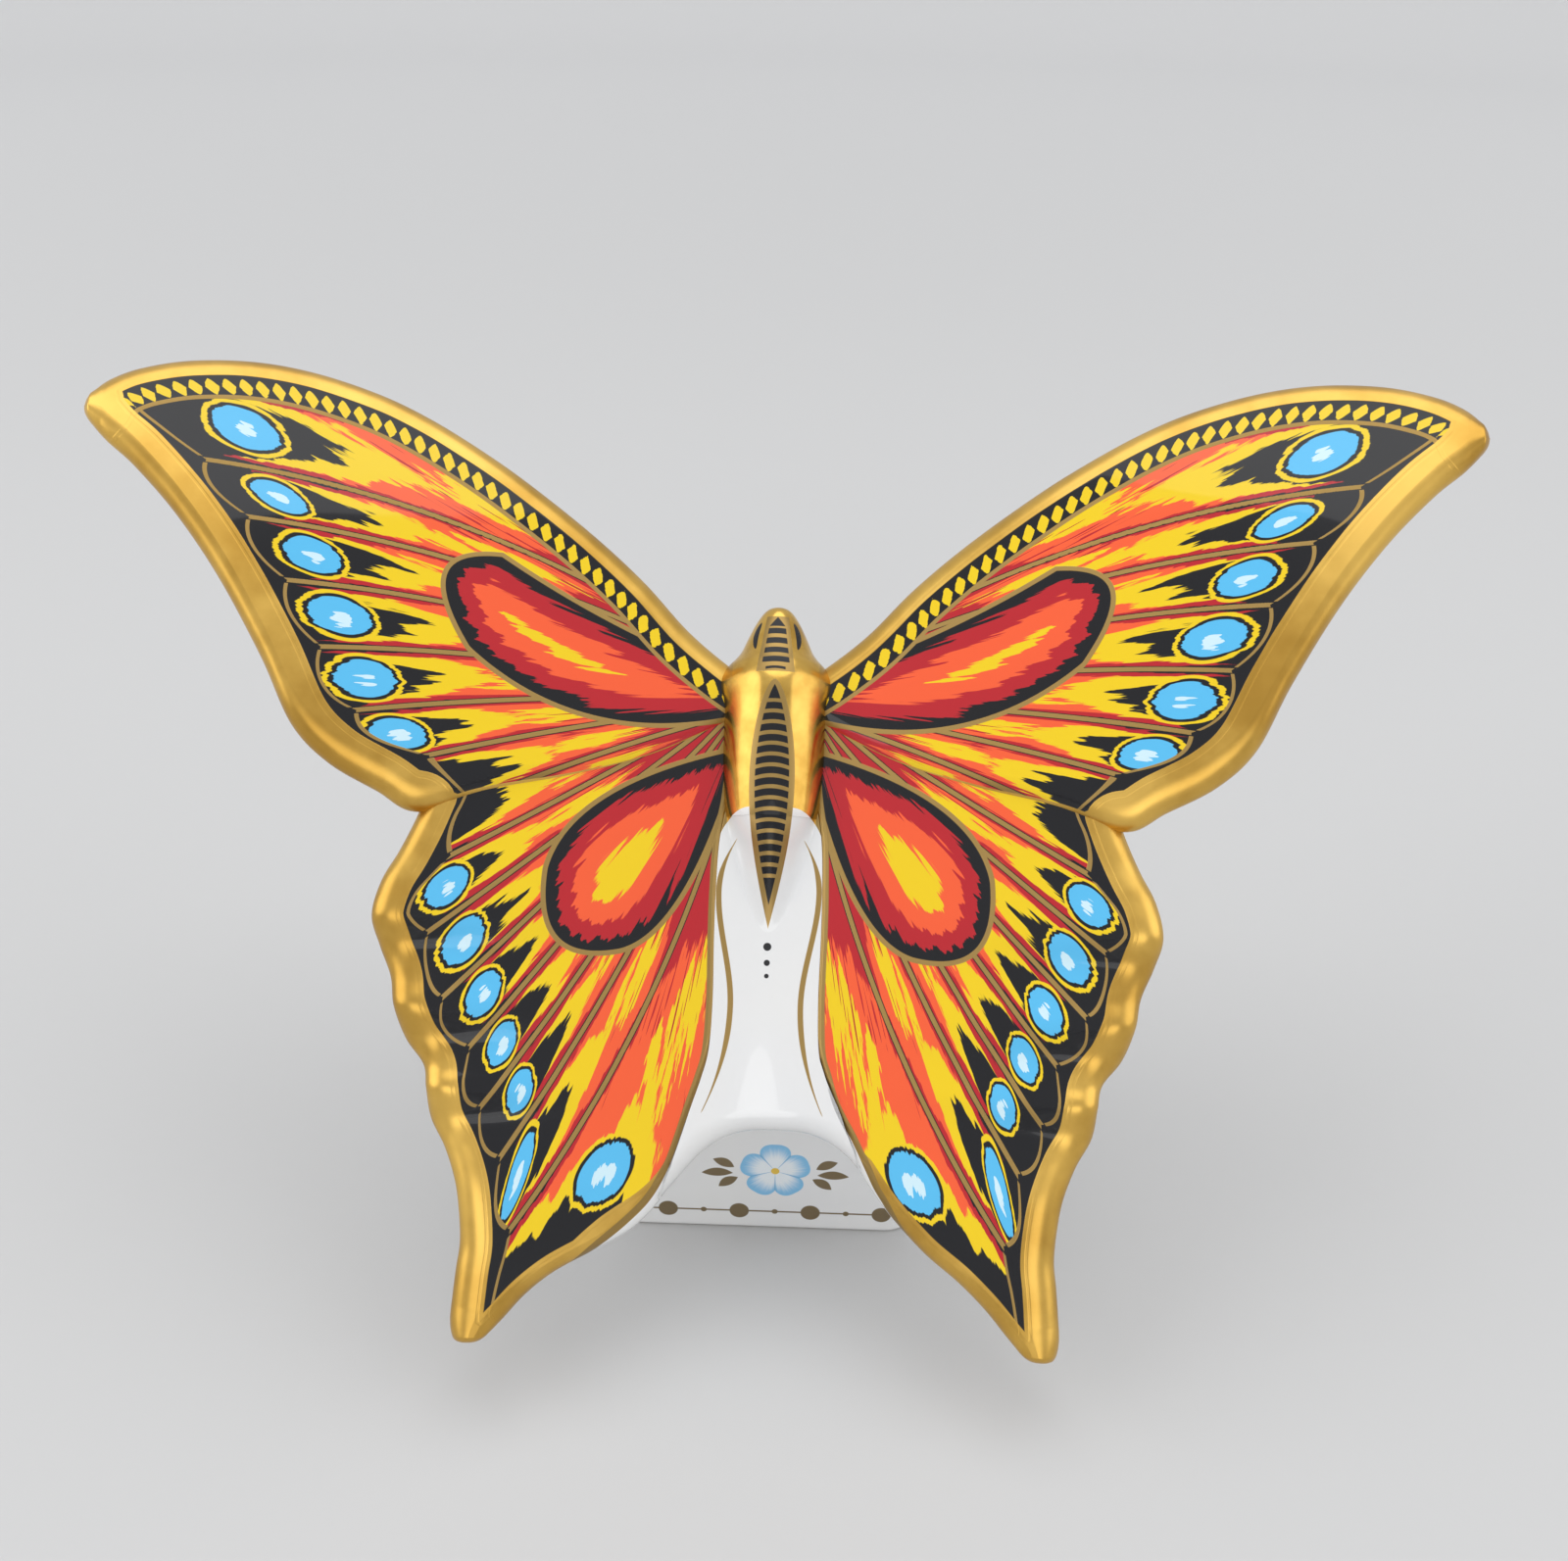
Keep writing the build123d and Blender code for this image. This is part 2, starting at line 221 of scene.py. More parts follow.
def plate_shell(inner, outer, lift, cut):
    """Grid of a plate, and the (u, v) and side of its points.

    inner and outer are the outlines, lift(share) is the height of the plate's middle over a section,
    and cut is how much of each section the panel takes away: the plate ends there in an upright wall.
    """
    face, cap, rear = plate_counts
    half_turn = np.pi * np.arange(1, cap) / cap
    on_face = (1 - np.cos(np.pi * np.linspace(0, 1, face))) / 2 * 0.35 + np.linspace(0, 1, face) * 0.65
    on_rear = np.linspace(1, 0, rear)
    place = np.r_[on_face, np.ones(cap - 1), on_rear, np.zeros(cap - 1)]
    bulge_out = np.r_[np.zeros(face), np.sin(half_turn), np.zeros(rear + cap - 1)]
    bulge_in = np.r_[np.zeros(face + cap - 1 + rear), np.sin(half_turn)]
    side = np.r_[np.ones(face), np.cos(half_turn), -np.ones(rear), -np.cos(half_turn)]
    way = outer - inner
    run = np.linalg.norm(way, axis=1)[:, None]
    cap_out = np.minimum(wing_round, run * 0.42)
    cut = cut[:, None]
    start = np.maximum(cap_out, cut)
    half = np.minimum(wing_wall, run * 1.2) / 2
    distance = start + (run - start - cap_out) * place + cap_out * bulge_out
    distance = np.where(bulge_in > 0, np.maximum(cap_out * (1 - bulge_in), cut), distance)
    share = distance / run
    sunk = (side - 1) * half * math.tan(dihedral) * np.clip(cut / cap_out, 0, 1) * (1 - share) ** 2
    u = inner[:, :1] + way[:, :1] * share + sunk
    v = inner[:, 1:] + way[:, 1:] * share
    return u, v, half * side + lift(share), np.broadcast_to(side, u.shape)


plate_counts = 112, 9, 40
print("columns over a plate's front, round a cap and over its rear:", plate_counts)

# %% The forewing's outline, from root to tip: u, v of the lower edge, then of the upper edge
forewing_rows = np.array([
    (0.018, 0.65, 0.018, 0.684), (0.084, 0.63, 0.07, 0.706), (0.195, 0.59, 0.136, 0.743),
    (0.306, 0.564, 0.204, 0.794), (0.419, 0.544, 0.281, 0.842), (0.513, 0.522, 0.371, 0.89),
    (0.57, 0.541, 0.441, 0.923), (0.638, 0.567, 0.526, 0.957), (0.69, 0.604, 0.604, 0.98),
    (0.737, 0.671, 0.697, 0.996), (0.801, 0.75, 0.783, 1), (0.865, 0.814, 0.868, 0.992),
    (0.926, 0.862, 0.932, 0.976), (0.965, 0.886, 0.97, 0.959), (0.986, 0.902, 0.988, 0.944),
    (0.9965, 0.912, 0.997, 0.9335), (1, 0.9215, 1, 0.9235), (1, 0.9225, 1, 0.9225),
])
forewing_scale = (forewing_reach, wing_height, forewing_reach, wing_height)
forewing_edges = through(forewing_rows * forewing_scale, 235, 0.7)
fore_low, fore_top = forewing_edges[:, :2], forewing_edges[:, 2:]
fore_step = 0.9 * (0.45 + 0.55 * np.minimum(fore_low[:, :1] / forewing_reach / 0.513, 1))
fore_plate = plate_shell(
    fore_low, fore_top, lambda share: fore_step * (1 - share), np.zeros(len(fore_low))
)
print("forewing grid:", fore_plate[0].shape)

# %% The hindwing's outline, from notch to tail: u, v inside, u, v outside, then the ruffle's share
hindwing_rows = np.array([
    (0.04, 0.665, 0.89, 0.54, 0), (0.04, 0.595, 0.915, 0.511, 0), (0.04, 0.53, 0.946, 0.481, 0.2),
    (0.04, 0.475, 0.983, 0.45, 0.6), (0.05, 0.425, 1, 0.415, 1), (0.06, 0.388, 0.975, 0.385, -0.7),
    (0.07, 0.355, 0.945, 0.355, -0.2), (0.08, 0.325, 0.933, 0.325, 0.8), (0.1, 0.293, 0.898, 0.293, -0.9),
    (0.12, 0.268, 0.853, 0.268, -0.2), (0.14, 0.245, 0.844, 0.245, 0.8), (0.17, 0.215, 0.826, 0.215, -0.9),
    (0.2, 0.18, 0.79, 0.187, -0.2), (0.255, 0.138, 0.762, 0.155, 0.6), (0.325, 0.108, 0.748, 0.125, 0.7),
    (0.42, 0.086, 0.741, 0.095, 0.5), (0.51, 0.066, 0.746, 0.07, 0.3), (0.575, 0.045, 0.75, 0.045, 0.2),
    (0.63, 0.02, 0.752, 0.02, 0), (0.672, 0.003, 0.742, 0.003, 0), (0.7, -0.001, 0.72, -0.001, 0),
])
hindwing_scale = (hindwing_reach, wing_height, hindwing_reach, wing_height, 0.75)
both_hindwings = {"left": hindwing_rows, "right": hindwing_rows.copy()}
both_hindwings["right"][10:17, 1] = (0.257, 0.235, 0.208, 0.174, 0.136, 0.097, 0.069)
shared_edge = [(4.2, 58.6), (4.6, 54.5), (5.3, 50.0), (5.5, 45.0), (5.5, 39.7), (5.4, 33.5), (5.6, 28.5)]
white_edges = {
    "left": shared_edge + [(6.25, 25.6), (7.15, 22.7), (8.0, 19.8), (9.1, 16.5), (10.7, 13.5)],
    "right": shared_edge + [(6.3, 26.0), (7.3, 23.0), (9.15, 19.8), (10.5, 17.0)],
}
leg_ends = {
    "left": [(14.0, 11.15), (17.2, 8.4), (20.5, 5.0)],
    "right": [
        (12.35, 15.2), (13.2, 13.9), (13.9, 12.6), (14.7, 11.2), (15.7, 9.8), (17.0, 8.2), (20.5, 3.0),
    ],
}
panel_ends = {
    "left": [(8.95, 16.7), (9.5, 15.1), (9.9, 13.6)],
    "right": [(8.6, 20.5), (9.45, 18.6), (9.9, 16.9)],
}
panel_borders = {side: through(white_edges[side][:-2] + panel_ends[side], 200) for side in white_edges}

# %% [markdown]
# The hindwing's sections run on under the white panel, but its shell begins at the panel's border.
# The place where each section crosses that border is found by trying 400 places along it. The foot was
# stuck on a little to one side, so the arch and the edge beside it differ on the left and right.

# %% The hindwing's shell


def hindwing_plate(side):
    """Plate of one hindwing, its outer outline, and the free part of its inner outline."""
    edges = through(both_hindwings[side] * hindwing_scale, 235, 0.6)
    inside, outside, wave = edges[:, :2], edges[:, 2:4], edges[:, 4:]
    way = (outside - inside).T[..., None]
    try_u, try_v = inside.T[..., None] + way * np.linspace(0, 1, 400)
    border = panel_borders[side][::-1]
    border_u = np.interp(try_v, border[:, 1], border[:, 0])
    border_u = (border_u + wing_wall / 2 * math.sin(dihedral)) / math.cos(dihedral)
    covered = (try_u < border_u) & (try_v > border[0, 1])
    last = 399 - covered[:, ::-1].argmax(1)
    rows = np.arange(len(last))
    gap = (border_u - try_u)[rows, last]
    beyond = (border_u - try_u)[rows, np.minimum(last + 1, 399)]
    begin = np.where(covered.any(1), (last + np.clip(gap / (gap - beyond), 0, 1)) / 399, 0.0)
    cut = begin * np.linalg.norm(outside - inside, axis=1)
    plate = plate_shell(inside, outside, lambda share: wave * share**3, cut)
    return plate, outside, inside[cut == 0]


print("stations of a hindwing's free inner edge:", len(hindwing_plate("left")[2]))

# %% [markdown]
# The picture on the wings is a printed decal. This one is a general butterfly pattern, drawn by
# branching veins: gold lines run from the root to the outer edge, and every cell between two of them
# holds the same colours. A vein is a quadratic curve. For every vertex the distances to the vein below
# and to the vein above give its place across the cell, and their shares give its place along it.

# %% Veins and cells


def vein(start, bend, end, count=60):
    """Quadratic curve from start to end, pulled towards bend."""
    time = np.linspace(0, 1, count)[:, None]
    start, bend, end = (np.array(place, float) for place in (start, bend, end))
    return (1 - time) ** 2 * start + 2 * time * (1 - time) * bend + time**2 * end


def cell_places(points, veins):
    """Place along a cell from 0 to 1, lane, and half the cell's width.

    The lane is the number of the cell plus the share of the way from its lower to its upper vein, so
    it passes a whole number at every vein and has no crease there.
    """
    gaps, shares = [], []
    for line in veins:
        gap, share = away(points, line)
        place = np.clip((share * (len(line) - 1)).astype(int), 0, len(line) - 2)
        way, apart = np.diff(line, axis=0)[place], points - line[place]
        gaps.append(np.where(way[:, 0] * apart[:, 1] - way[:, 1] * apart[:, 0] > 0, gap, -gap))
        shares.append(share)
    gaps, shares = np.array(gaps), np.array(shares)
    number = np.clip(np.sum(gaps > 0, axis=0) - 1, 0, len(veins) - 2)
    rows = np.arange(len(points))
    low, high = gaps[number, rows], -gaps[number + 1, rows]
    width = np.maximum(low + high, 1e-6)
    both = np.abs(low) + np.abs(high)
    along = (shares[number, rows] * np.abs(high) + shares[number + 1, rows] * np.abs(low)) / both
    return along, number + low / width, width / 2


def inside_distance(points, ring):
    """Distance from a closed outline, negative inside it."""
    gap = away(points, ring)[0]
    x, y = points[:, :1], points[:, 1:]
    x0, y0, x1, y1 = ring[:-1, 0], ring[:-1, 1], ring[1:, 0], ring[1:, 1]
    level = np.where(y1 == y0, 1e-9, y1 - y0)
    crossings = ((y0 > y) != (y1 > y)) & (x < x0 + (x1 - x0) * (y - y0) / level)
    return np.where(crossings.sum(1) % 2 == 1, -gap, gap)


def drop(*curves):
    """Closed outline of quadratic curves, each given by its start, its bend and its end."""
    ring = np.concatenate([vein(*curve) for curve in curves])
    return np.concatenate([ring, ring[:1]])


def pattern_numbers(uv, front, veins, disc, root):
    """The numbers that place a vertex in its cell, in the disc, from the root and on the front."""
    along, lane, width = cell_places(uv, veins)
    reach = np.hypot(*(uv - root).T)
    inside = inside_distance(uv, disc)
    return {"along": along, "lane": lane, "width": width, "disc": inside, "reach": reach, "front": front}


print("a vein's middle:", vein((0, 0), (1, 2), (2, 0))[30].round(2))

# %% The forewing's pattern
fore_root = (-1.0, 65.5)
fore_ends = [(38, 49), (45.5, 53.5), (51, 59), (54.5, 66), (58.5, 73), (63, 79.5), (68.5, 85), (74, 94)]
fore_bends = [(18, 59.5), (24, 61), (29, 64), (31, 69), (33, 75), (33, 81), (36, 87.5), (30, 96)]
fore_veins = [vein(fore_root, bend, end) for bend, end in zip(fore_bends, fore_ends)]
fore_uv = np.stack(fore_plate[:2], -1).reshape(-1, 2)
fore_disc = drop(
    ((1, 64.4), (20, 57), (33, 68)),
    ((33, 68), (40, 78.5), (30, 78.5)),
    ((30, 78.5), (17, 70.6), (1, 66.5)),
)
top, top_run = away(fore_uv, fore_top)
notch = int(np.abs(fore_low[:, 0] - 0.513 * forewing_reach).argmin())
margin, low = away(fore_uv, fore_low[notch:])[0], away(fore_uv, fore_low[: notch + 1])[0]
rim = np.minimum(np.minimum(top - 2.5, margin - 3.9), low - 0.75)
turn = np.arctan2(fore_uv[:, 1] - fore_root[1], fore_uv[:, 0] - fore_root[0])
fore_paint = pattern_numbers(fore_uv, fore_plate[3], fore_veins, fore_disc, fore_root)
fore_paint.update(rim=rim, top=top, top_run=top_run * 104, turn=turn, margin=margin)
print("numbers on the forewing:", sorted(fore_paint))

# %% The hindwing's pattern
hind_root = (3.0, 66.0)
hind_ends = [
    (36, -2), (30.5, 12), (32.5, 17.5), (34.5, 23), (37, 29), (39.5, 35.5), (41.5, 42), (38.5, 52),
]
hind_bends = [(11, 24), (14.5, 35), (17, 38), (19.5, 41), (22, 44), (24, 48), (24, 52), (24, 57.5)]
hind_veins = [vein((1.0, 66.0), (2.0, 20.0), (22.0, -6.0))]
hind_veins += [vein(hind_root, bend, end) for bend, end in zip(hind_bends, hind_ends)]
hind_disc = drop(
    ((4, 60), (9, 40), (16, 38)), ((16, 38), (25, 36), (24, 46)), ((24, 46), (22, 55), (4, 60))
)


def hindwing_paint(side, plate, outside, free_edge):
    """The paint's numbers at every vertex of one hindwing."""
    uv = np.stack(plate[:2], -1).reshape(-1, 2)
    margin = away(uv, outside)[0]
    leg_line = [((across + 0.55) / 0.961, height) for across, height in white_edges[side]]
    leg_line = through(leg_line + leg_ends[side], 160)
    beyond_leg = uv[:, 0] - np.interp(uv[:, 1], *leg_line[::-1, ::-1].T)
    leg = away(uv, leg_line)[0] * np.sign(beyond_leg)
    inner = np.minimum(away(uv, free_edge)[0] - 2.1, leg - 0.7 - 1.6 * eased((17.5 - uv[:, 1]) / 6))
    turn = np.arctan2(uv[:, 0] - hind_root[0], hind_root[1] - uv[:, 1])
    numbers = pattern_numbers(uv, plate[3], hind_veins, hind_disc, hind_root)
    return numbers | {"rim": np.minimum(margin - 3.0, inner), "turn": turn, "margin": margin, "leg": leg}


print("hindwing veins:", len(hind_veins))

# %% The four wings


def wing_shell(side, kind, plate, numbers):
    """The shell of one wing; a left one mirrors the right."""
    node = f"{side}_{kind}"
    points = wing_point(*plate[:3]) * (1 if side == "right" else -1, 1, 1)
    return grid_piece(f"{node}_shell", points, "painted_china", [node], **numbers)


wings = [wing_shell(side, "forewing", fore_plate, fore_paint) for side in ("right", "left")]
for side in ("right", "left"):
    plate, outside, free_edge = hindwing_plate(side)
    wings.append(wing_shell(side, "hindwing", plate, hindwing_paint(side, plate, outside, free_edge)))

# %% [markdown]
# The body is a ridge of round sections about a line just in front of the body line. Its profile is
# the same smooth curve through listed stations, turned about that line.

# %% Thorax and head
body_start = 0.545 * wing_height
neck = body_start + 15.8
flare, flare_along, flare_spread, forward_turn = 0.9, 67.0, 2.1, 0.14
body_rows = through([
    (5.30, 52.4), (5.45, 53.3), (5.62, 55.5), (5.75, 58.5), (5.75, 62.5), (5.68, 65.0), (5.48, 66.8),
    (5.18, 68.0), (4.80, 68.95), (4.32, 69.7), (3.85, 70.5), (3.36, 71.7), (2.92, 72.7), (2.42, 73.7),
    (1.80, 74.7), (1.24, 75.3), (0.62, 75.59), (0.0, 75.65),
], 400)


def turned(low, high, count, around=128):
    """Surface of revolution about the ridge's line, from one height to another.

    Towards the wings it flares by a bell curve of the height and a power of the angle's cosine, as
    the slip that fillets a joint does.
    """
    steps = np.linspace(0, 1, len(body_rows))
    share = np.linspace(*np.interp([low, high], body_rows[:, 1], steps), count)[:, None]
    radius, along = (np.interp(share, steps, column) for column in body_rows.T)
    turns = np.linspace(0, 2 * np.pi, around, endpoint=False)
    aside = np.abs(np.cos(turns)) * math.cos(forward_turn) + np.sin(turns) * math.sin(forward_turn)
    bell = np.exp(-(((along - flare_along) / flare_spread) ** 2))
    radius = radius + flare * bell * np.maximum(aside, 0) ** 9
    return lean_point(radius * np.cos(turns), along, 1.0 + radius * np.sin(turns))


thorax = grid_piece("thorax_shell", turned(52.4, neck, 100), "gilding", ["thorax"])
head = grid_piece("head_shell", turned(neck, 75.65, 60), "gilding", ["head"])

# %% [markdown]
# The white panel is a saddle: two wing plates that meet in a rounded valley, with an arch cut out
# below. Across the valley its height is a circle's arc in the middle and a straight slope beyond. The
# grid runs down the front, round the lip of the arch and up the rear.

# %% The valley's height and the white panel
arch_rise, arch_half, arch_shift, crown_radius = 20.4, 9.9, 2.8, 9.0
panel_foot, panel_length = 13.6, 45.0
front_valley, rear_valley = 24.0, 28.0


def valley(across, n, radius):
    """Height of the valley at n: an arc of the radius until it meets the slope of the wings."""
    across = np.abs(across)
    arc = (n + radius) / math.cos(dihedral) - np.sqrt(np.maximum(radius**2 - across**2, 0))
    slope = n / math.cos(dihedral) + across * math.tan(dihedral)
    return np.where(across < radius * math.sin(dihedral), arc, slope)


def arch_place(across):
    """Across from the arch's middle; its right half reaches further than its left by the shift."""
    return across - arch_shift * eased((across + 1.5) / 6)


def arch(across):
    """Height of the arch above the tails: a round crown with legs that fall at 50 degrees."""
    slope = math.radians(50)
    knee = crown_radius * math.sin(slope)
    across = np.abs(arch_place(across))
    crown = arch_rise - crown_radius + np.sqrt(np.maximum(crown_radius**2 - across**2, 0))
    legs = arch_rise - crown_radius * (1 - math.cos(slope)) - (across - knee) * math.tan(slope)
    return np.where(across < knee, crown, legs)


def border_at(height):
    """Half the panel's width at a height, for the columns left and right of the middle."""
    halves = [np.interp(height, *panel_borders[side][::-1, ::-1].T) for side in ("left", "right")]
    return np.where(side_share < 0, *halves)


side_share = np.r_[-1, np.linspace(-1, 1, 91), 1][:, None]
flat = np.r_[0, np.ones(91), 0][:, None]
lip = np.pi * np.arange(1, 14) / 14
rise = np.r_[np.linspace(1, 0, 100), np.zeros(13), np.linspace(0, 1, 100)]
push = np.r_[np.zeros(100), np.sin(lip), np.zeros(100)]
face = np.r_[np.ones(100), np.cos(lip), -np.ones(100)] * flat
level = panel_foot + panel_length * rise
heights = []
for place in (side_share * arch_half, np.sign(side_share) * arch_half):
    lip_depth = 2.0 / np.sqrt(1 - np.clip(np.abs(arch_place(place)) / crown_radius, 0, 0.766) ** 2)
    lifted = (arch(place) - panel_foot) * (1 - rise) ** 1.5
    heights.append(level + lifted + lip_depth * ((1 - rise) ** 9 - push))
along, edge_along = heights
across = side_share * (border_at(level) * (1 - side_share**6) + border_at(edge_along) * side_share**6)
front_height = valley(across, 2.0 - bend_back(along), front_valley)
rear_height = valley(across, -2.0 - bend_back(along), rear_valley)
height = (front_height + rear_height) / 2 + (front_height - rear_height) / 2 * face
panel_points = lean_point(across, along, height)
panel = grid_piece("panel_shell", panel_points, "white_china", ["back_panel"])

# %% [markdown]
# The abdomen is a round ridge under the thorax that turns into a flatter bump as it tapers. The bump's
# section is a squared parabola, which meets the panel without a crease. Near the thorax the ridge has a
# fillet at its foot, log(1 + e^h) of its height h over the panel, which fades out where it runs into
# the thorax.

# %% The abdomen
ridge_stations = [
    (0.02, -0.03), (0.12, 0), (0.37, 0.1), (0.61, 0.4), (0.84, 0.69), (0.985, 1), (0.99, 1.04),
]
ridge_half, ridge_length = 5.45, 13.6
ridge_rows = through(np.array(ridge_stations) * (ridge_half, ridge_length), 120)
ridge_along = np.linspace(body_start - 14.4, body_start + 0.5, 110)[:, None]
ridge_across = np.linspace(-6.4, 6.4, 121)[None, :]
ridge_radius = np.interp(ridge_along, body_start - ridge_length + ridge_rows[:, 1], ridge_rows[:, 0])
panel_front = valley(ridge_across, 2.0 - bend_back(ridge_along), front_valley)
dome = 1.0 + np.sqrt(np.maximum(ridge_radius**2 - ridge_across**2, 0)) - panel_front
fillet = 0.45 * np.clip((body_start + 0.4 - ridge_along) / 3.0, 0.04, 1)
dome = fillet * np.logaddexp(0, dome / fillet) - 0.22 * np.exp(-np.maximum(dome, 0))
grown = np.clip((ridge_along - body_start + 12.9) / 12.5, 0, 1.1)
bump = 4.37 * grown**1.3 * np.maximum(1 - (ridge_across / (0.5 + 4.6 * grown**0.7)) ** 2, 0) ** 2 - 0.02
swell = dome + (bump - dome) * eased((body_start - 0.3 - ridge_along) / 4.0)
swell = swell - 0.6 * np.clip(np.abs(ridge_across) - 4.7, 0, 1)
rings = np.concatenate([swell, np.full_like(swell, -2.2)], 1)
ring_across = np.broadcast_to(np.concatenate([ridge_across, ridge_across[:, ::-1]], 1), rings.shape)
panel_front = valley(ring_across, 2.0 - bend_back(ridge_along), front_valley)
abdomen_points = lean_point(ring_across, ridge_along, panel_front + rings)
abdomen = grid_piece("abdomen_shell", abdomen_points, "white_china", ["abdomen"])

# %% [markdown]
# The foot is a hollow pedestal with a flat front. Its plan is a rounded rectangle, given as eight
# stretches: four sides and four quarter circles. It shrinks and swells with the height, and it ends
# where the wings' middle surfaces begin. One profile goes down the outside, under the foot ring,
# through the vent hole and up the inner wall.

# %% The pedestal
foot_width, foot_depth, foot_tall, foot_swell = 34.0, 30.0, 46.0, 2.6
foot_wall, foot_ring, foot_round = 2.6, 2.8, 0.7


def plan(height, inset):
    """Point of the rounded rectangle at a height, set in by the wall, all the way round it."""
    share = height / foot_tall
    swell = 4 * foot_swell * share * (1 - share)
    width, depth = foot_width - 15 * share + 2 * swell, foot_depth - 20 * share + swell
    corner = 3.4 + 0.2 * share
    x = (width / 2 - corner) * ring_x + corner * np.cos(ring_turn)
    y = (depth / 2 - corner) * ring_y + corner * np.sin(ring_turn)
    return x * (1 - 2 * inset / width), (y + (depth - foot_depth) / 2) * (1 - 2 * inset / depth)


def plan_rows(height, inset, z):
    """Rows of points at z on the outline that the plan has at a height."""
    return np.stack(np.broadcast_arrays(*plan(height, inset), z), -1)


def wings_above(x, y):
    """Height of the wings' middle surfaces over a point of the table."""
    aside = np.abs(x) * math.tan(dihedral) / math.cos(lean)
    return axis_height + (y + axis_front) * math.tan(lean) + aside


sides, corners, fronts = (np.linspace(0, 1, count, endpoint=False) for count in (24, 16, 44))
stretches = [
    (1, sides * 2 - 1, 0), (1, 1, corners), (1 - fronts * 2, 1, 1), (-1, 1, 1 + corners),
    (-1, 1 - sides * 2, 2), (-1, -1, 2 + corners), (fronts * 2 - 1, -1, 3), (1, -1, 3 + corners),
]
stretches = [np.array(np.broadcast_arrays(*stretch), float) for stretch in stretches]
ring_x, ring_y, quarter = np.hstack(stretches)[:, None]
ring_turn = quarter * np.pi / 2
floor_x, floor_y = plan(0.0, 0)
turns = np.arctan2(floor_y, floor_x)
top_height = np.full_like(turns, 20.0)
for _ in range(30):
    top_height = top_height * 0.5 + 0.5 * np.minimum(wings_above(*plan(top_height, 0)), foot_tall)
outer_height = foot_round + (top_height - foot_round) * np.linspace(1, 0, 80)[:, None] ** 1.15
bend = (np.pi / 2 * np.arange(1, 7) / 6)[:, None]
round_height = foot_round * (1 - np.sin(bend))
outer = plan_rows(outer_height, 0, outer_height)
rows = [outer, plan_rows(round_height, foot_round * (1 - np.cos(bend)), round_height)]
for step_in, level in ((-0.5, 0.0), (-0.1, 0.15), (0.0, 0.5), (0.1, 1.0), (0.6, 1.3)):
    rows.append(plan_rows(0.0, foot_ring + step_in, level))
vent_rows = [(6.0, 1.3), (4.3, 1.3), (4.05, 1.45), (4.0, 1.8), (4.0, 3.7), (4.3, 3.9)]
rows.append(lathe(vent_rows, turns))
rows += [plan_rows(3.9, 4.5, 3.9), plan_rows(5.0, foot_wall, 5.0)]
inner_height = 5.0 + (np.maximum(top_height - 7.0, 9.0) - 5.0) * np.linspace(0, 1, 20)[1:, None]
rows.append(plan_rows(inner_height, foot_wall, inner_height))
rows += [outer[:1] * (0.9, 0.9, 1) - (0, 0, 4), outer[:1]]
points = np.concatenate(rows)
pedestal = grid_piece("pedestal_shell", points, "white_china", ["pedestal"])

# %% [markdown]
# A soft bung closes the vent hole of a hollow foot. It is a turned piece: a thin flange that lies
# against the floor, a shank, and a small dimple for a fingernail.

# %% The bung
bung_rows = [
    (0.0, 4.3), (2.2, 4.35), (3.4, 4.5), (3.8, 4.3), (3.93, 3.6), (3.93, 1.7), (4.1, 1.34), (5.0, 1.28),
    (5.3, 1.1), (5.35, 0.85), (5.1, 0.6), (4.5, 0.52), (2.2, 0.52), (1.7, 0.6), (1.4, 0.85), (0.0, 0.95),
]
bung_grid = lathe(through(bung_rows, 90), np.linspace(0, 2 * np.pi, 64, endpoint=False))
bung = grid_piece("bung_shell", bung_grid, "bung", ["vent_bung"])

# %% [markdown]
# Shader maths reads best as formulas. A small class wraps a socket, so that an expression on it adds
# the Math nodes. A second class holds a material: one of its methods makes every node, and another
# lays coats of colour over each other.

# %% Formulas that make nodes


class Value:
    """A number that varies over a surface."""

    def __init__(self, paint, socket):
        self.paint, self.socket = paint, socket

    def math(self, operation, *others):
        values = dict(enumerate((self, *others)))
        return self.paint.node("ShaderNodeMath", {"operation": operation}, values)

    def __rsub__(self, other):
        return self.paint.node("ShaderNodeMath", {"operation": "SUBTRACT"}, {0: other, 1: self})

    __add__ = __radd__ = partialmethod(math, "ADD")
    __mul__ = __rmul__ = partialmethod(math, "MULTIPLY")
    __sub__ = partialmethod(math, "SUBTRACT")
    __truediv__ = partialmethod(math, "DIVIDE")
    __pow__ = partialmethod(math, "POWER")
    __abs__ = partialmethod(math, "ABSOLUTE")
    fraction = partialmethod(math, "FRACT")
    least = partialmethod(math, "MINIMUM")
    most = partialmethod(math, "MAXIMUM")

    def step(self, low, high):
        """0 below low and 1 above high, with a soft step between them."""
        values = {0: self, 1: low, 2: high, 3: 0.0, 4: 1.0}
        return self.paint.node("ShaderNodeMapRange", {"interpolation_type": "SMOOTHSTEP"}, values)

    def fall(self, low, high):
        """1 below low and 0 above high."""
        return 1 - self.step(low, high)


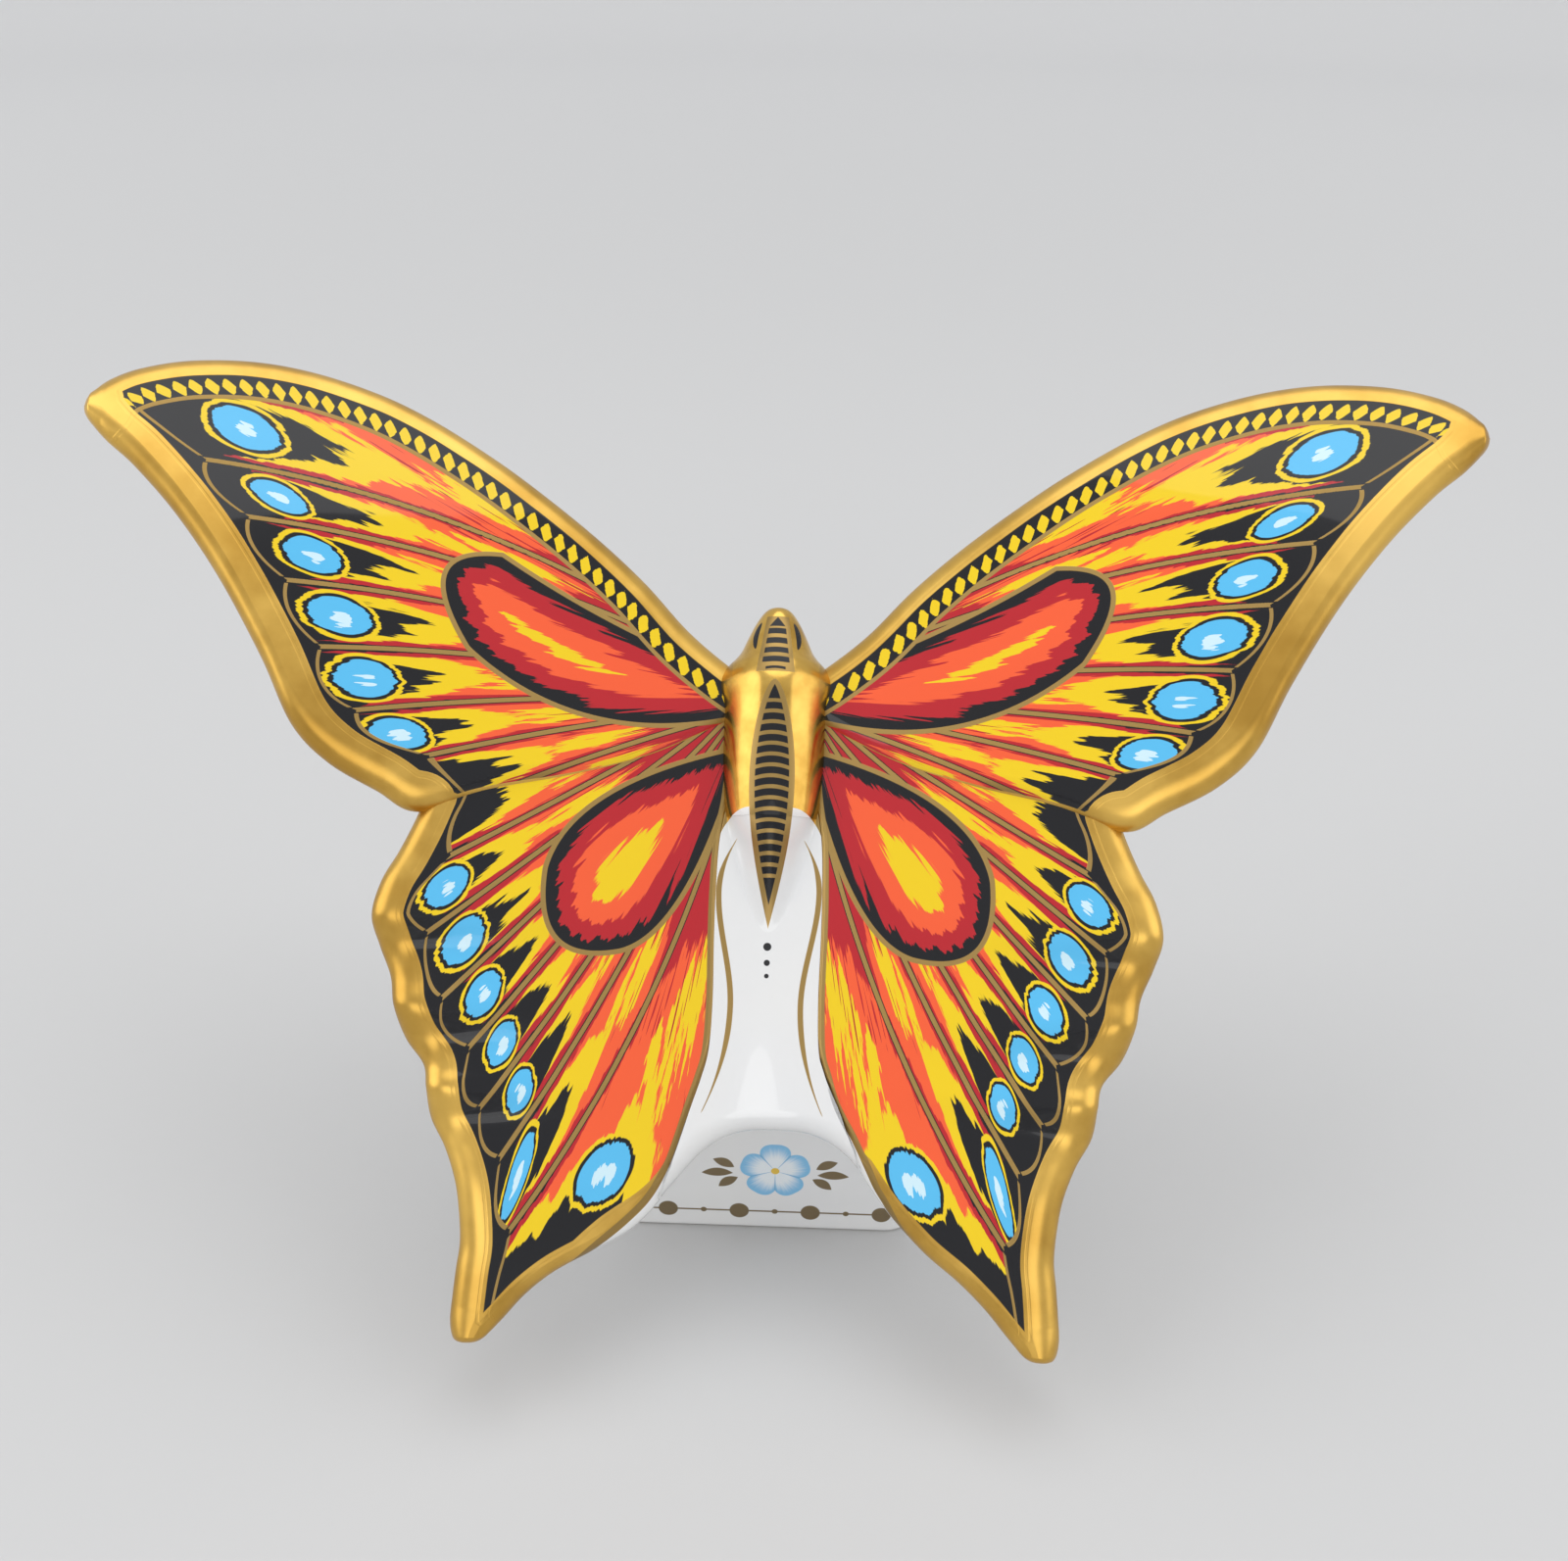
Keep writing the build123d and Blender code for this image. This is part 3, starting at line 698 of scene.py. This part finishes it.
class Paint:
    """A material, its shader and the nodes that feed it."""

    def __init__(self, name, **sockets):
        self.material = bpy.data.materials.new(name)
        self.material.use_nodes = True
        self.tree = self.material.node_tree
        self.shader = self.tree.nodes["Principled BSDF"]
        self.set(**sockets)
        self.place = self.node("ShaderNodeTexCoord", output="Object")

    def set(self, **sockets):
        """Feeds sockets of the shader, which are named with _ for a space."""
        for name, value in sockets.items():
            self.feed(self.shader.inputs[name.replace("_", " ")], value)

    def node(self, kind, settings=None, values=None, output=0):
        made = self.tree.nodes.new(kind)
        for key, value in (settings or {}).items():
            setattr(made, key, value)
        for key, value in (values or {}).items():
            self.feed(made.inputs[key], value)
        return Value(self, made.outputs[output])

    def feed(self, socket, value):
        if isinstance(value, Value):
            self.tree.links.new(value.socket, socket)
        else:
            socket.default_value = (*value, 1.0) if isinstance(value, tuple) else value

    def number(self, name):
        return self.node("ShaderNodeAttribute", {"attribute_name": name}, output="Fac")

    def axis(self, name):
        """One coordinate of the surface, in millimetres."""
        return self.node("ShaderNodeSeparateXYZ", {}, {0: self.place}, name) * 1000.0

    def noise(self, scale, detail=2.0, vector=None, roughness=0.5):
        values = {"Scale": scale, "Detail": detail, "Roughness": roughness}
        return self.node("ShaderNodeTexNoise", {}, {"Vector": vector or self.place} | values)

    def blend(self, factor, low, high):
        """The colour low where the factor is 0, and high where it is 1."""
        return self.node("ShaderNodeMix", {"data_type": "RGBA"}, {0: factor, 6: low, 7: high}, 2)

    def coats(self, colour, *coats):
        """A colour with coats of others over it, each given by where it lies and what it is."""
        for where, coat in coats:
            colour = self.blend(where, colour, coat)
        return colour

    def vector(self, x, y, z=0.0):
        return self.node("ShaderNodeCombineXYZ", {}, {0: x, 1: y, 2: z})

    def finish(self, pieces, bump=None, depth=0.00005, strength=0.3, **sockets):
        self.set(**sockets)
        if bump is not None:
            values = {"Strength": strength, "Distance": depth, "Height": bump}
            self.set(Normal=self.node("ShaderNodeBump", {}, values, "Normal"))
        for piece in pieces:
            piece.data.materials.clear()
            piece.data.materials.append(self.material)
        print(self.material.name, len(self.tree.nodes), "nodes")


# %% The colours of the decal, the gilding and the glaze
china = (0.80, 0.80, 0.79)
pooled_glaze = (0.78, 0.785, 0.79)
bare_china = (0.66, 0.63, 0.57)
black = (0.006, 0.006, 0.008)
crimson = (0.48, 0.014, 0.022)
orange = (0.90, 0.115, 0.035)
yellow = (0.86, 0.60, 0.008)
sky = (0.10, 0.50, 0.84)
pale_sky = (0.62, 0.83, 0.92)
gold = (0.76, 0.48, 0.11)
# A darker gold, mixed into the gilding as painted dark reflections.
dark_reflection_gold = (0.50, 0.28, 0.05)
gold_ink = (0.36, 0.235, 0.08)

# %% [markdown]
# The paint on a wing: the numbers on the vertices say where a point lies in its cell, and thresholds
# on them choose the colour. Each threshold is moved by a noise that changes quickly round the root and
# slowly away from it, so the borders break into fine teeth like the strokes of a fired enamel.

# %% The painted wings
for kind, pieces in (("forewing", wings[:2]), ("hindwing", wings[2:])):
    paint = Paint(f"painted_{kind}", Coat_Roughness=0.03, Specular_IOR_Level=0.15, Coat_IOR=1.5)
    rim, along, lane, width = map(paint.number, ("rim", "along", "lane", "width"))
    disc, turn, reach, front = map(paint.number, ("disc", "turn", "reach", "front"))
    part = lane.fraction()
    cell, across = lane - part, part * 2.0 - 1.0
    line = (0.5 - abs(part - 0.5)) * width * 2.0
    strokes = paint.noise(1.0, 3.0, paint.vector(turn * 90.0, reach * 0.12, cell * 7.3), 0.6) - 0.5
    teeth = paint.noise(1.0, 1.0, paint.vector(turn * 42.0, reach * 0.07, 3.0)) - 0.5
    feather = strokes * 0.16 + teeth * 0.16
    bow = across * across
    fore = kind == "forewing"
    place = along + feather - bow * 0.10
    streak = bow + strokes * 0.9 + abs(place - 0.47) * 1.7
    hair = paint.noise(1.0, 1.0, paint.vector(turn * 150.0, reach * 0.10, cell * 3.1))
    hair = hair - (place - 0.36) * 0.55
    tongue = line + strokes * 1.1 - 0.1 - along * along * 1.15
    size = (width * 0.60).least(2.1)
    lowest = cell.fall(0.4, 0.6)
    centre = 0.81 if fore else 0.81 - lowest * 0.13
    long = (along - centre) * (reach / along.most(0.2)) / (size * 1.5) + strokes * 0.5
    wide = (across - lowest * 0.16) * width / size + teeth * 0.3
    hidden = cell.step(6.4, 6.6).most(lowest if fore else cell.fall(-0.6, -0.4))
    spot = (long * long + wide * wide) ** 0.5 + hidden * 9.0
    glint = long * long * 3.0 + (wide + 0.1) * (wide + 0.1) * 2.5 + strokes * 2.4 + hidden * 9.0
    scallop = paint.number("margin") - (4.35 if fore else 3.45) - bow * 1.25
    inner = disc + strokes * 1.6 + teeth * 2.0
    heart = paint.coats(
        yellow,
        (inner.step(-5.2, -5.05), orange),
        (inner.step(-3.2, -3.05), crimson),
        (inner.step(-1.5, -1.4), black),
    )
    in_disc = disc.fall(-0.05, 0.05)
    colour = paint.coats(
        crimson,
        (place.step(0.34, 0.35), orange),
        (streak.fall(0.19, 0.21), yellow),
        (hair.step(0.60, 0.62), crimson),
        ((place - bow * 0.12).step(0.575, 0.585), yellow),
        (tongue.fall(0.0, 0.05), crimson),
        ((tongue + 0.45).fall(0.0, 0.05), black),
        ((place - bow * 0.14).step(0.675, 0.685), black),
        (spot.fall(1.34, 1.38), yellow),
        (spot.fall(1.16, 1.20), black),
        (spot.fall(1.0, 1.04), sky),
        (glint.fall(0.30, 0.36), pale_sky),
        (line.fall(0.30, 0.34), black),
        (scallop.fall(-0.02, 0.02), black),
        (in_disc, heart),
    )
    gilt_lines = line.fall(0.20, 0.25) * (1 - in_disc) * scallop.step(-0.02, 0.02)
    scallop_line = abs(scallop).fall(0.13, 0.18) * line.step(0.30, 0.40)
    gilt_lines = gilt_lines.most(abs(disc).fall(0.22, 0.28)).most(scallop_line)
    if fore:
        top = paint.number("top")
        band = top.fall(5.0, 5.06)
        run = paint.number("top_run") / 2.3
        saw = abs((run + (top - 3.8) * 0.28).fraction() - 0.5) * 2.0
        leaf = saw ** 1.5 * 1.15 + abs((top - 3.82) / 1.05) + strokes * 0.5
        colour = paint.coats(colour, (band, black), (band * leaf.fall(0.86, 0.90), yellow))
        gilt_lines = (gilt_lines * (1 - band)).most(abs(top - 5.0).fall(0.20, 0.25))
    edge_wave = paint.noise(160.0, 1.0) * 0.12 - 0.06
    rim_line = (rim + edge_wave).fall(-0.04, 0.04)
    groove = abs(rim + 0.55).fall(0.08, 0.20)
    on_front = front.step(-0.2, -0.1)
    rear_rim = (rim + 1.4).fall(-0.04, 0.04) * (1 - on_front)
    gilt = (rim_line.most(gilt_lines) * on_front).most(rear_rim)
    mottle = paint.noise(420.0, 3.0)
    # The gilding's colour is mottled between gold and a darker gold: random tone, with the darker patches as
    # painted dark reflections.
    gold_mottle_and_reflection = paint.noise(70.0, 2.0) * 0.8 + mottle * 0.2
    thin_lines = gilt_lines * (1 - rim_line)
    metal = paint.coats(dark_reflection_gold, (gold_mottle_and_reflection.step(0.30, 0.66), gold), (thin_lines, gold_ink))
    glaze = paint.blend(mottle * 0.05, china, (0.70, 0.68, 0.62))
    if not fore:
        leg = paint.number("leg")
        bare_leg = leg.fall(-0.03, 0.03)
        gilt = gilt * (1 - bare_leg)
        colour = paint.blend(bare_leg, colour, glaze)
        metal = paint.blend(leg.fall(0.75, 0.8) * on_front, metal, gold_ink)
    colour = paint.coats(glaze, (on_front, colour), (gilt, metal))
    roughness = 0.14 + mottle * 0.06 + gilt * (0.10 + gold_mottle_and_reflection * 0.10 + thin_lines * 0.16)
    relief = (rim_line * (1 - groove * 0.5) * 0.6 + gilt_lines * 0.4) * on_front + mottle * 0.08
    paint.finish(
        pieces,
        relief,
        depth=0.00012,
        strength=0.35,
        Base_Color=colour,
        Metallic=gilt * 0.96,
        Roughness=roughness,
        Coat_Weight=(1 - gilt) * 0.6,
    )

# %% [markdown]
# The body is brushed with liquid bright gold, which fires to a mirror with a faint cloudiness. Its colour
# is mottled with a darker gold as painted dark reflections. The decal on it is a spindle of black bars,
# drawn from the place along and across the body.

# %% The gilded body


def body_places(paint):
    """Across, along and off the body in millimetres, from the surface's own coordinates."""
    x, y, z = paint.axis("X"), paint.axis("Y") + axis_front, paint.axis("Z") - axis_height
    return x, y * math.cos(lean) + z * math.sin(lean), z * math.cos(lean) - y * math.sin(lean)


def spindle(paint, x, along):
    """Masks of the spindle decal: its black bars, and the whole of it.

    Its half width is a sine of the height below the widest place and a blunter one above it.
    """
    low_end, widest, high_end, half_width = 40.78, 56.0, 66.64, 2.38
    top_bar, bar_pitch = 63.78, 1.13
    low = ((along - low_end) / (widest - low_end)).most(0.0).least(1.0) * (math.pi / 2)
    high = ((high_end - along) / (high_end - widest)).most(0.0).least(1.0) * (math.pi / 2)
    from_side = low.math("SINE") * high.math("SINE") ** 0.55 * half_width - abs(x)
    bars = abs(((along - top_bar + x * x * 0.09) / bar_pitch + 0.5).fraction() - 0.5) * 2.0
    barred = along.step(46.20, 46.24) * along.fall(64.28, 64.32)
    solid = along.fall(46.05, 46.10) + along.step(64.48, 64.54)
    ink = (bars.fall(0.60, 0.68) * barred).most(solid) * from_side.step(0.58, 0.64)
    return ink, from_side.step(0.0, 0.06)


def lobes(x, along):
    """1 above the line on which the gilding ends, beside the spindle."""
    out = ((abs(x) - 2.2).most(0.0) / 3.4).least(0.999)
    return (along - 48.5 - (1 - out * out) ** 0.5 * 4.7).step(-0.03, 0.05)


paint = Paint("gilded_body", Specular_IOR_Level=0.2, Coat_Roughness=0.05)
x, along, off = body_places(paint)
cloud, fine = paint.noise(190.0, 3.0), paint.noise(900.0, 2.0)
# The cloud noise roughens the gloss. Mixed with finer noise, it also mottles the colour between gold and a
# darker gold, whose darker patches are painted dark reflections.
gold_mottle_and_reflection = cloud * 0.8 + fine * 0.2
ink, field = spindle(paint, x, along)
above = along - 68.96
bars = abs((above / 1.15 + x * x * 0.05 + 0.5).fraction() - 0.5) * 2.0
on_head = above.step(-0.42, -0.38) * above.fall(3.86, 3.90)
from_side = 1.42 - above * 0.13 - abs(x)
ink = ink.most(bars.fall(0.55, 0.63) * on_head * from_side.step(0.0, 0.06))
tip = (abs(x) / 0.85 + (above - 4.05) / 1.15).fall(0.92, 1.0) * above.step(4.0, 4.05)
arc = abs(above + 0.98 + x * x * 0.10).fall(0.12, 0.18)
ink = ink.most(tip).most(arc * abs(x).fall(1.0, 1.1))
eye_along = above - 2.95
eye_across = (abs(x) - 2.25 + eye_along * 0.16 + eye_along * eye_along * 0.10) / 0.28
ink = ink.most((eye_across * eye_across + eye_along * eye_along / 2.6).fall(0.9, 1.1))
plate = (from_side + 0.45).step(0.0, 0.06) * above.step(-1.5, -1.4) * above.fall(5.2, 5.3)
side_band = abs(x).step(4.5, 4.7)
front = off.step(1.5, 1.6)
ink, field = ink * front, field * front
dull = field.most(plate).most(side_band * 0.45) * front
gilt = lobes(x, along).most(field) * (off.step(-1.65, -1.6).most(along.step(68.4, 68.5)))
metal = paint.coats(dark_reflection_gold, (gold_mottle_and_reflection.step(0.32, 0.68), gold), (dull, gold_ink))
paint.finish(
    [thorax, head],
    fine * 0.1 + ink * 0.5,
    Base_Color=paint.coats(china, (gilt, metal), (ink, black)),
    Metallic=gilt * (1 - ink),
    Roughness=0.13 + cloud * 0.09 + dull * 0.2 + ink * 0.1,
    Coat_Weight=(1 - gilt) * 0.8 + ink * 0.3,
)

# %% The glazed abdomen and panel, with the spindle's lower half, two scrolls and three dots
paint = Paint("glazed_body", Coat_Roughness=0.02, Specular_IOR_Level=0.3)
x, along, off = body_places(paint)
fine, pool = paint.noise(1200.0, 2.0), paint.noise(60.0, 2.0)
glaze = paint.coats(china, (pool.step(0.3, 0.7), pooled_glaze), (fine * 0.04, (0.60, 0.58, 0.54)))
ink, field = spindle(paint, x, along)
low, high = (33.0 - along).most(0.0), (along - 44.6).most(0.0)
curve = along.step(33.0, 44.6) * 1.6 + 3.6 + low * low * 0.0214 - high * high * 0.056
thick = along.step(22.0, 31.0) * along.fall(45.5, 50.2) * 0.24 + 0.05
fade = along.step(22.0, 22.4) * along.fall(49.8, 50.2)
from_curve = abs(abs(x) - curve)
scroll = from_curve.fall(0.0, 0.06).most((from_curve - thick).fall(-0.03, 0.03)) * fade
for centre, radius in ((39.05, 0.42), (37.4, 0.32), (36.05, 0.24)):
    gap = (x * x + (along - centre) * (along - centre)) ** 0.5
    ink = ink.most(gap.fall(radius - 0.04, radius + 0.04))
front = off.step(0.9, 1.0)
ink = ink * front
dull = field.most(scroll).most(lobes(x, along) * abs(x).step(4.55, 4.75)) * front
gilt = dull.most(lobes(x, along) * front)
metallic = gilt * (1 - ink)
paint.finish(
    [abdomen, panel],
    pool * 0.3 + fine * 0.05 + dull * 0.3,
    Base_Color=paint.coats(glaze, (gilt, paint.blend(dull, gold, gold_ink)), (ink, black)),
    Metallic=metallic * 0.95,
    Roughness=0.10 + pool * 0.05 + metallic * 0.12 + dull * 0.15,
    Coat_Weight=0.9 - gilt * 0.8 - ink * 0.1,
)

# %% [markdown]
# The foot is plain glazed china. On its front, seen through the arch, sits a small spray: a blue
# flower of five petals between six brown-gold leaves, above a line with large and small dots.

# %% The glazed pedestal and its spray
paint = Paint("glazed_pedestal", Coat_Roughness=0.03, Specular_IOR_Level=0.5)
flower_aside, flower_height, border_height, dot_pitch = 1.27, 8.8, 2.75, 7.9
x, y, z = paint.axis("X") - flower_aside, paint.axis("Y"), paint.axis("Z")
on_front = y.fall(-14.9, -14.8)
fine, pool = paint.noise(1200.0, 2.0), paint.noise(70.0, 2.0)
bare = z.fall(0.10, 0.25)
glaze = paint.coats(china, (pool.step(0.3, 0.7), pooled_glaze), (bare, bare_china))
flower_z = z - flower_height
radius = (x * x + flower_z * flower_z) ** 0.5
turn = x.math("ARCTAN2", flower_z)
petal = abs((turn / (2 * math.pi / 5) + 0.5).fraction() - 0.5) * 2.0
petal_edge = 4.0 - petal * petal * petal * 1.15 - (1 - petal) * 0.15
in_petal = (radius - petal_edge).fall(-0.06, 0.06)
rays = paint.noise(1.0, 2.0, paint.vector(turn * 14.0, radius * 0.3)) - 0.5
outwards = (radius / petal_edge + rays * 0.35).step(0.45, 0.95)
petal_colour = paint.coats(
    (0.80, 0.86, 0.90),
    (outwards, (0.20, 0.50, 0.78)),
    ((1 - petal).fall(0.0, 0.10), (0.17, 0.42, 0.68)),
    (radius.fall(0.42, 0.50), (0.75, 0.50, 0.05)),
)
leaves = x * 0.0
leaf_places = (5.6, 9.85, 0.45, 1.3), (6.35, 8.4, -0.02, 1.75), (5.2, 7.1, -0.6, 1.3)
for leaf_x, leaf_z, tilt, size in leaf_places:
    away_x, away_z = abs(x) - leaf_x, z - leaf_z
    run = (away_x * math.cos(tilt) + away_z * math.sin(tilt)) / size
    off = (away_z * math.cos(tilt) - away_x * math.sin(tilt)) / 0.62
    leaves = leaves.most((run * run + abs(off + run * run * 0.2 - 0.05)).fall(0.90, 1.04))
border_z = z - border_height
pitch = abs((x / dot_pitch).fraction() - 0.5) * dot_pitch
big = (pitch * pitch + border_z * border_z) ** 0.5
small = ((dot_pitch / 2 - pitch) * (dot_pitch / 2 - pitch) + border_z * border_z) ** 0.5
dots = big.fall(1.02, 1.12).most(small.fall(0.30, 0.38))
ink = leaves.most(abs(border_z).fall(0.08, 0.14) * abs(x).fall(14.0, 14.2)).most(dots)
decal = paint.coats(glaze, (in_petal, petal_colour), (ink, (0.20, 0.14, 0.06)))
paint.finish(
    [pedestal],
    pool * 0.3 + fine * 0.05 + ink * on_front * 0.2,
    Base_Color=paint.blend(on_front, glaze, decal),
    Metallic=ink * on_front * 0.55,
    Roughness=0.11 + pool * 0.05 + bare * 0.5 + ink * on_front * 0.2,
    Coat_Weight=(1 - bare) * 0.9,
)

# %% The soft bung
paint = Paint("soft_bung", Specular_IOR_Level=0.4)
x, y = paint.axis("X"), paint.axis("Y")
ring = ((x * x + y * y) ** 0.5 * 2.2).fraction()
grain = paint.noise(1500.0, 3.0)
paint.finish(
    [bung],
    grain * 0.5 + ring * 0.2,
    Base_Color=paint.blend(grain, (0.50, 0.50, 0.47), (0.60, 0.60, 0.57)),
    Roughness=0.55 + grain * 0.2,
)

# %% [markdown]
# The camera stands where the photographer stood: in front, 30 degrees above, a hand's breadth away.
# Its 36 mm lens on a 36 mm sensor gives the strong perspective of a close phone picture.

# %% The camera
pitch, yaw, roll = math.radians(30), math.radians(1.483), math.radians(0.871)
camera = bpy.data.objects.new("camera", bpy.data.cameras.new("camera"))
bpy.context.scene.collection.objects.link(camera)
tilt = Matrix.Rotation(math.pi / 2 - pitch, 4, "X") @ Matrix.Rotation(roll, 4, "Z")
place = Matrix.Translation((0.00487, -0.142, 0.13147))
camera.matrix_world = place @ Matrix.Rotation(yaw, 4, "Z") @ tilt
camera.data.lens, camera.data.sensor_width = 36.0, 36.0
camera.data.clip_start, camera.data.clip_end = 0.01, 20.0
bpy.context.scene.camera = camera
print("camera at", [round(value * 1000, 1) for value in camera.location], "mm")

# %% [markdown]
# The stage is a wide pale dish: a floor that rises all round like a studio sweep. Gold shows what it
# mirrors, so the world above the dish gives camera and mirror rays one plain light colour.

# %% The sweep
bpy.context.scene.view_settings.view_transform = "Standard"
floor_radius, sweep_radius = 1300.0, 700.0
arc = np.linspace(0, np.pi / 2, 24)[1:]
profile = np.stack([floor_radius + sweep_radius * np.sin(arc), sweep_radius * (1 - np.cos(arc))], -1)
profile = np.concatenate([[(0, 0), (400, 0), (floor_radius, 0)], profile])
mesh = grid_mesh("sweep", lathe(profile, np.linspace(2 * np.pi, 0, 128, endpoint=False)))
mesh.polygons.foreach_set("use_smooth", np.ones(len(mesh.polygons), bool))
sweep = bpy.data.objects.new("sweep", mesh)
bpy.context.scene.collection.objects.link(sweep)
sweep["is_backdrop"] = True
paint = Paint("pale_sweep")
x, y = paint.axis("X"), paint.axis("Y")
# The dish is grey near the middle and painted paler towards its wall: painted light that lifts the far dish
# and wall, which the lamps light less.
painted_far_light, grain = ((x * x + y * y) ** 0.5).step(300.0, 1500.0), paint.noise(900.0, 2.0)
paint.finish(
    [sweep],
    Base_Color=paint.blend(painted_far_light, (0.60, 0.60, 0.60), (0.88, 0.88, 0.88)),
    Roughness=grain * 0.1 + 0.75,
)

# %% The world
world = bpy.data.worlds.new("studio")
world.use_nodes = True
bpy.context.scene.world = world
nodes, links = world.node_tree.nodes, world.node_tree.links
rays = nodes.new("ShaderNodeLightPath")
seen = nodes.new("ShaderNodeMath")
links.new(rays.outputs["Is Camera Ray"], seen.inputs[0])
links.new(rays.outputs["Is Glossy Ray"], seen.inputs[1])
strength = nodes.new("ShaderNodeMapRange")
links.new(seen.outputs[0], strength.inputs[0])
strength.inputs[3].default_value, strength.inputs[4].default_value = 0.58, 0.72
nodes["Background"].inputs[0].default_value = (0.93, 0.94, 0.96, 1)
links.new(strength.outputs[0], nodes["Background"].inputs[1])

# %% [markdown]
# A glossy plate shows a lamp where it mirrors one, so the lamps stand where neither pair of wings
# mirrors them to the camera: two large ones at the sides, one above and one in front. Large lamps are
# dim for their power, so that what the glaze does mirror stays soft.

# %% The lamps
lamps = [
    ("left", (-0.95, -0.25, 0.6), 1.1, 4.3),
    ("right", (0.95, -0.2, 0.6), 1.1, 3.2),
    ("above", (0.05, 0.2, 1.1), 1.2, 4.7),
    ("front", (0.0, -1.3, 0.5), 0.9, 2.7),
]
for label, place, size, power in lamps:
    lamp = bpy.data.lights.new(label, "AREA")
    lamp.energy, lamp.size, lamp.shape = power, size, "DISK"
    holder = bpy.data.objects.new(label, lamp)
    bpy.context.scene.collection.objects.link(holder)
    holder.location = place
    holder.rotation_euler = (Vector((0, 0, 0.04)) - Vector(place)).to_track_quat("-Z", "Y").to_euler()
print("lamps:", [lamp[0] for lamp in lamps])

# %% The measured boxes, and the end
boxes = {"cad": [list(corner) for corner in cad_box], "visual": [list(corner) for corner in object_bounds()]}
for name, box in boxes.items():
    print(name, [[round(value * 1000, 1) for value in corner] for corner in box])
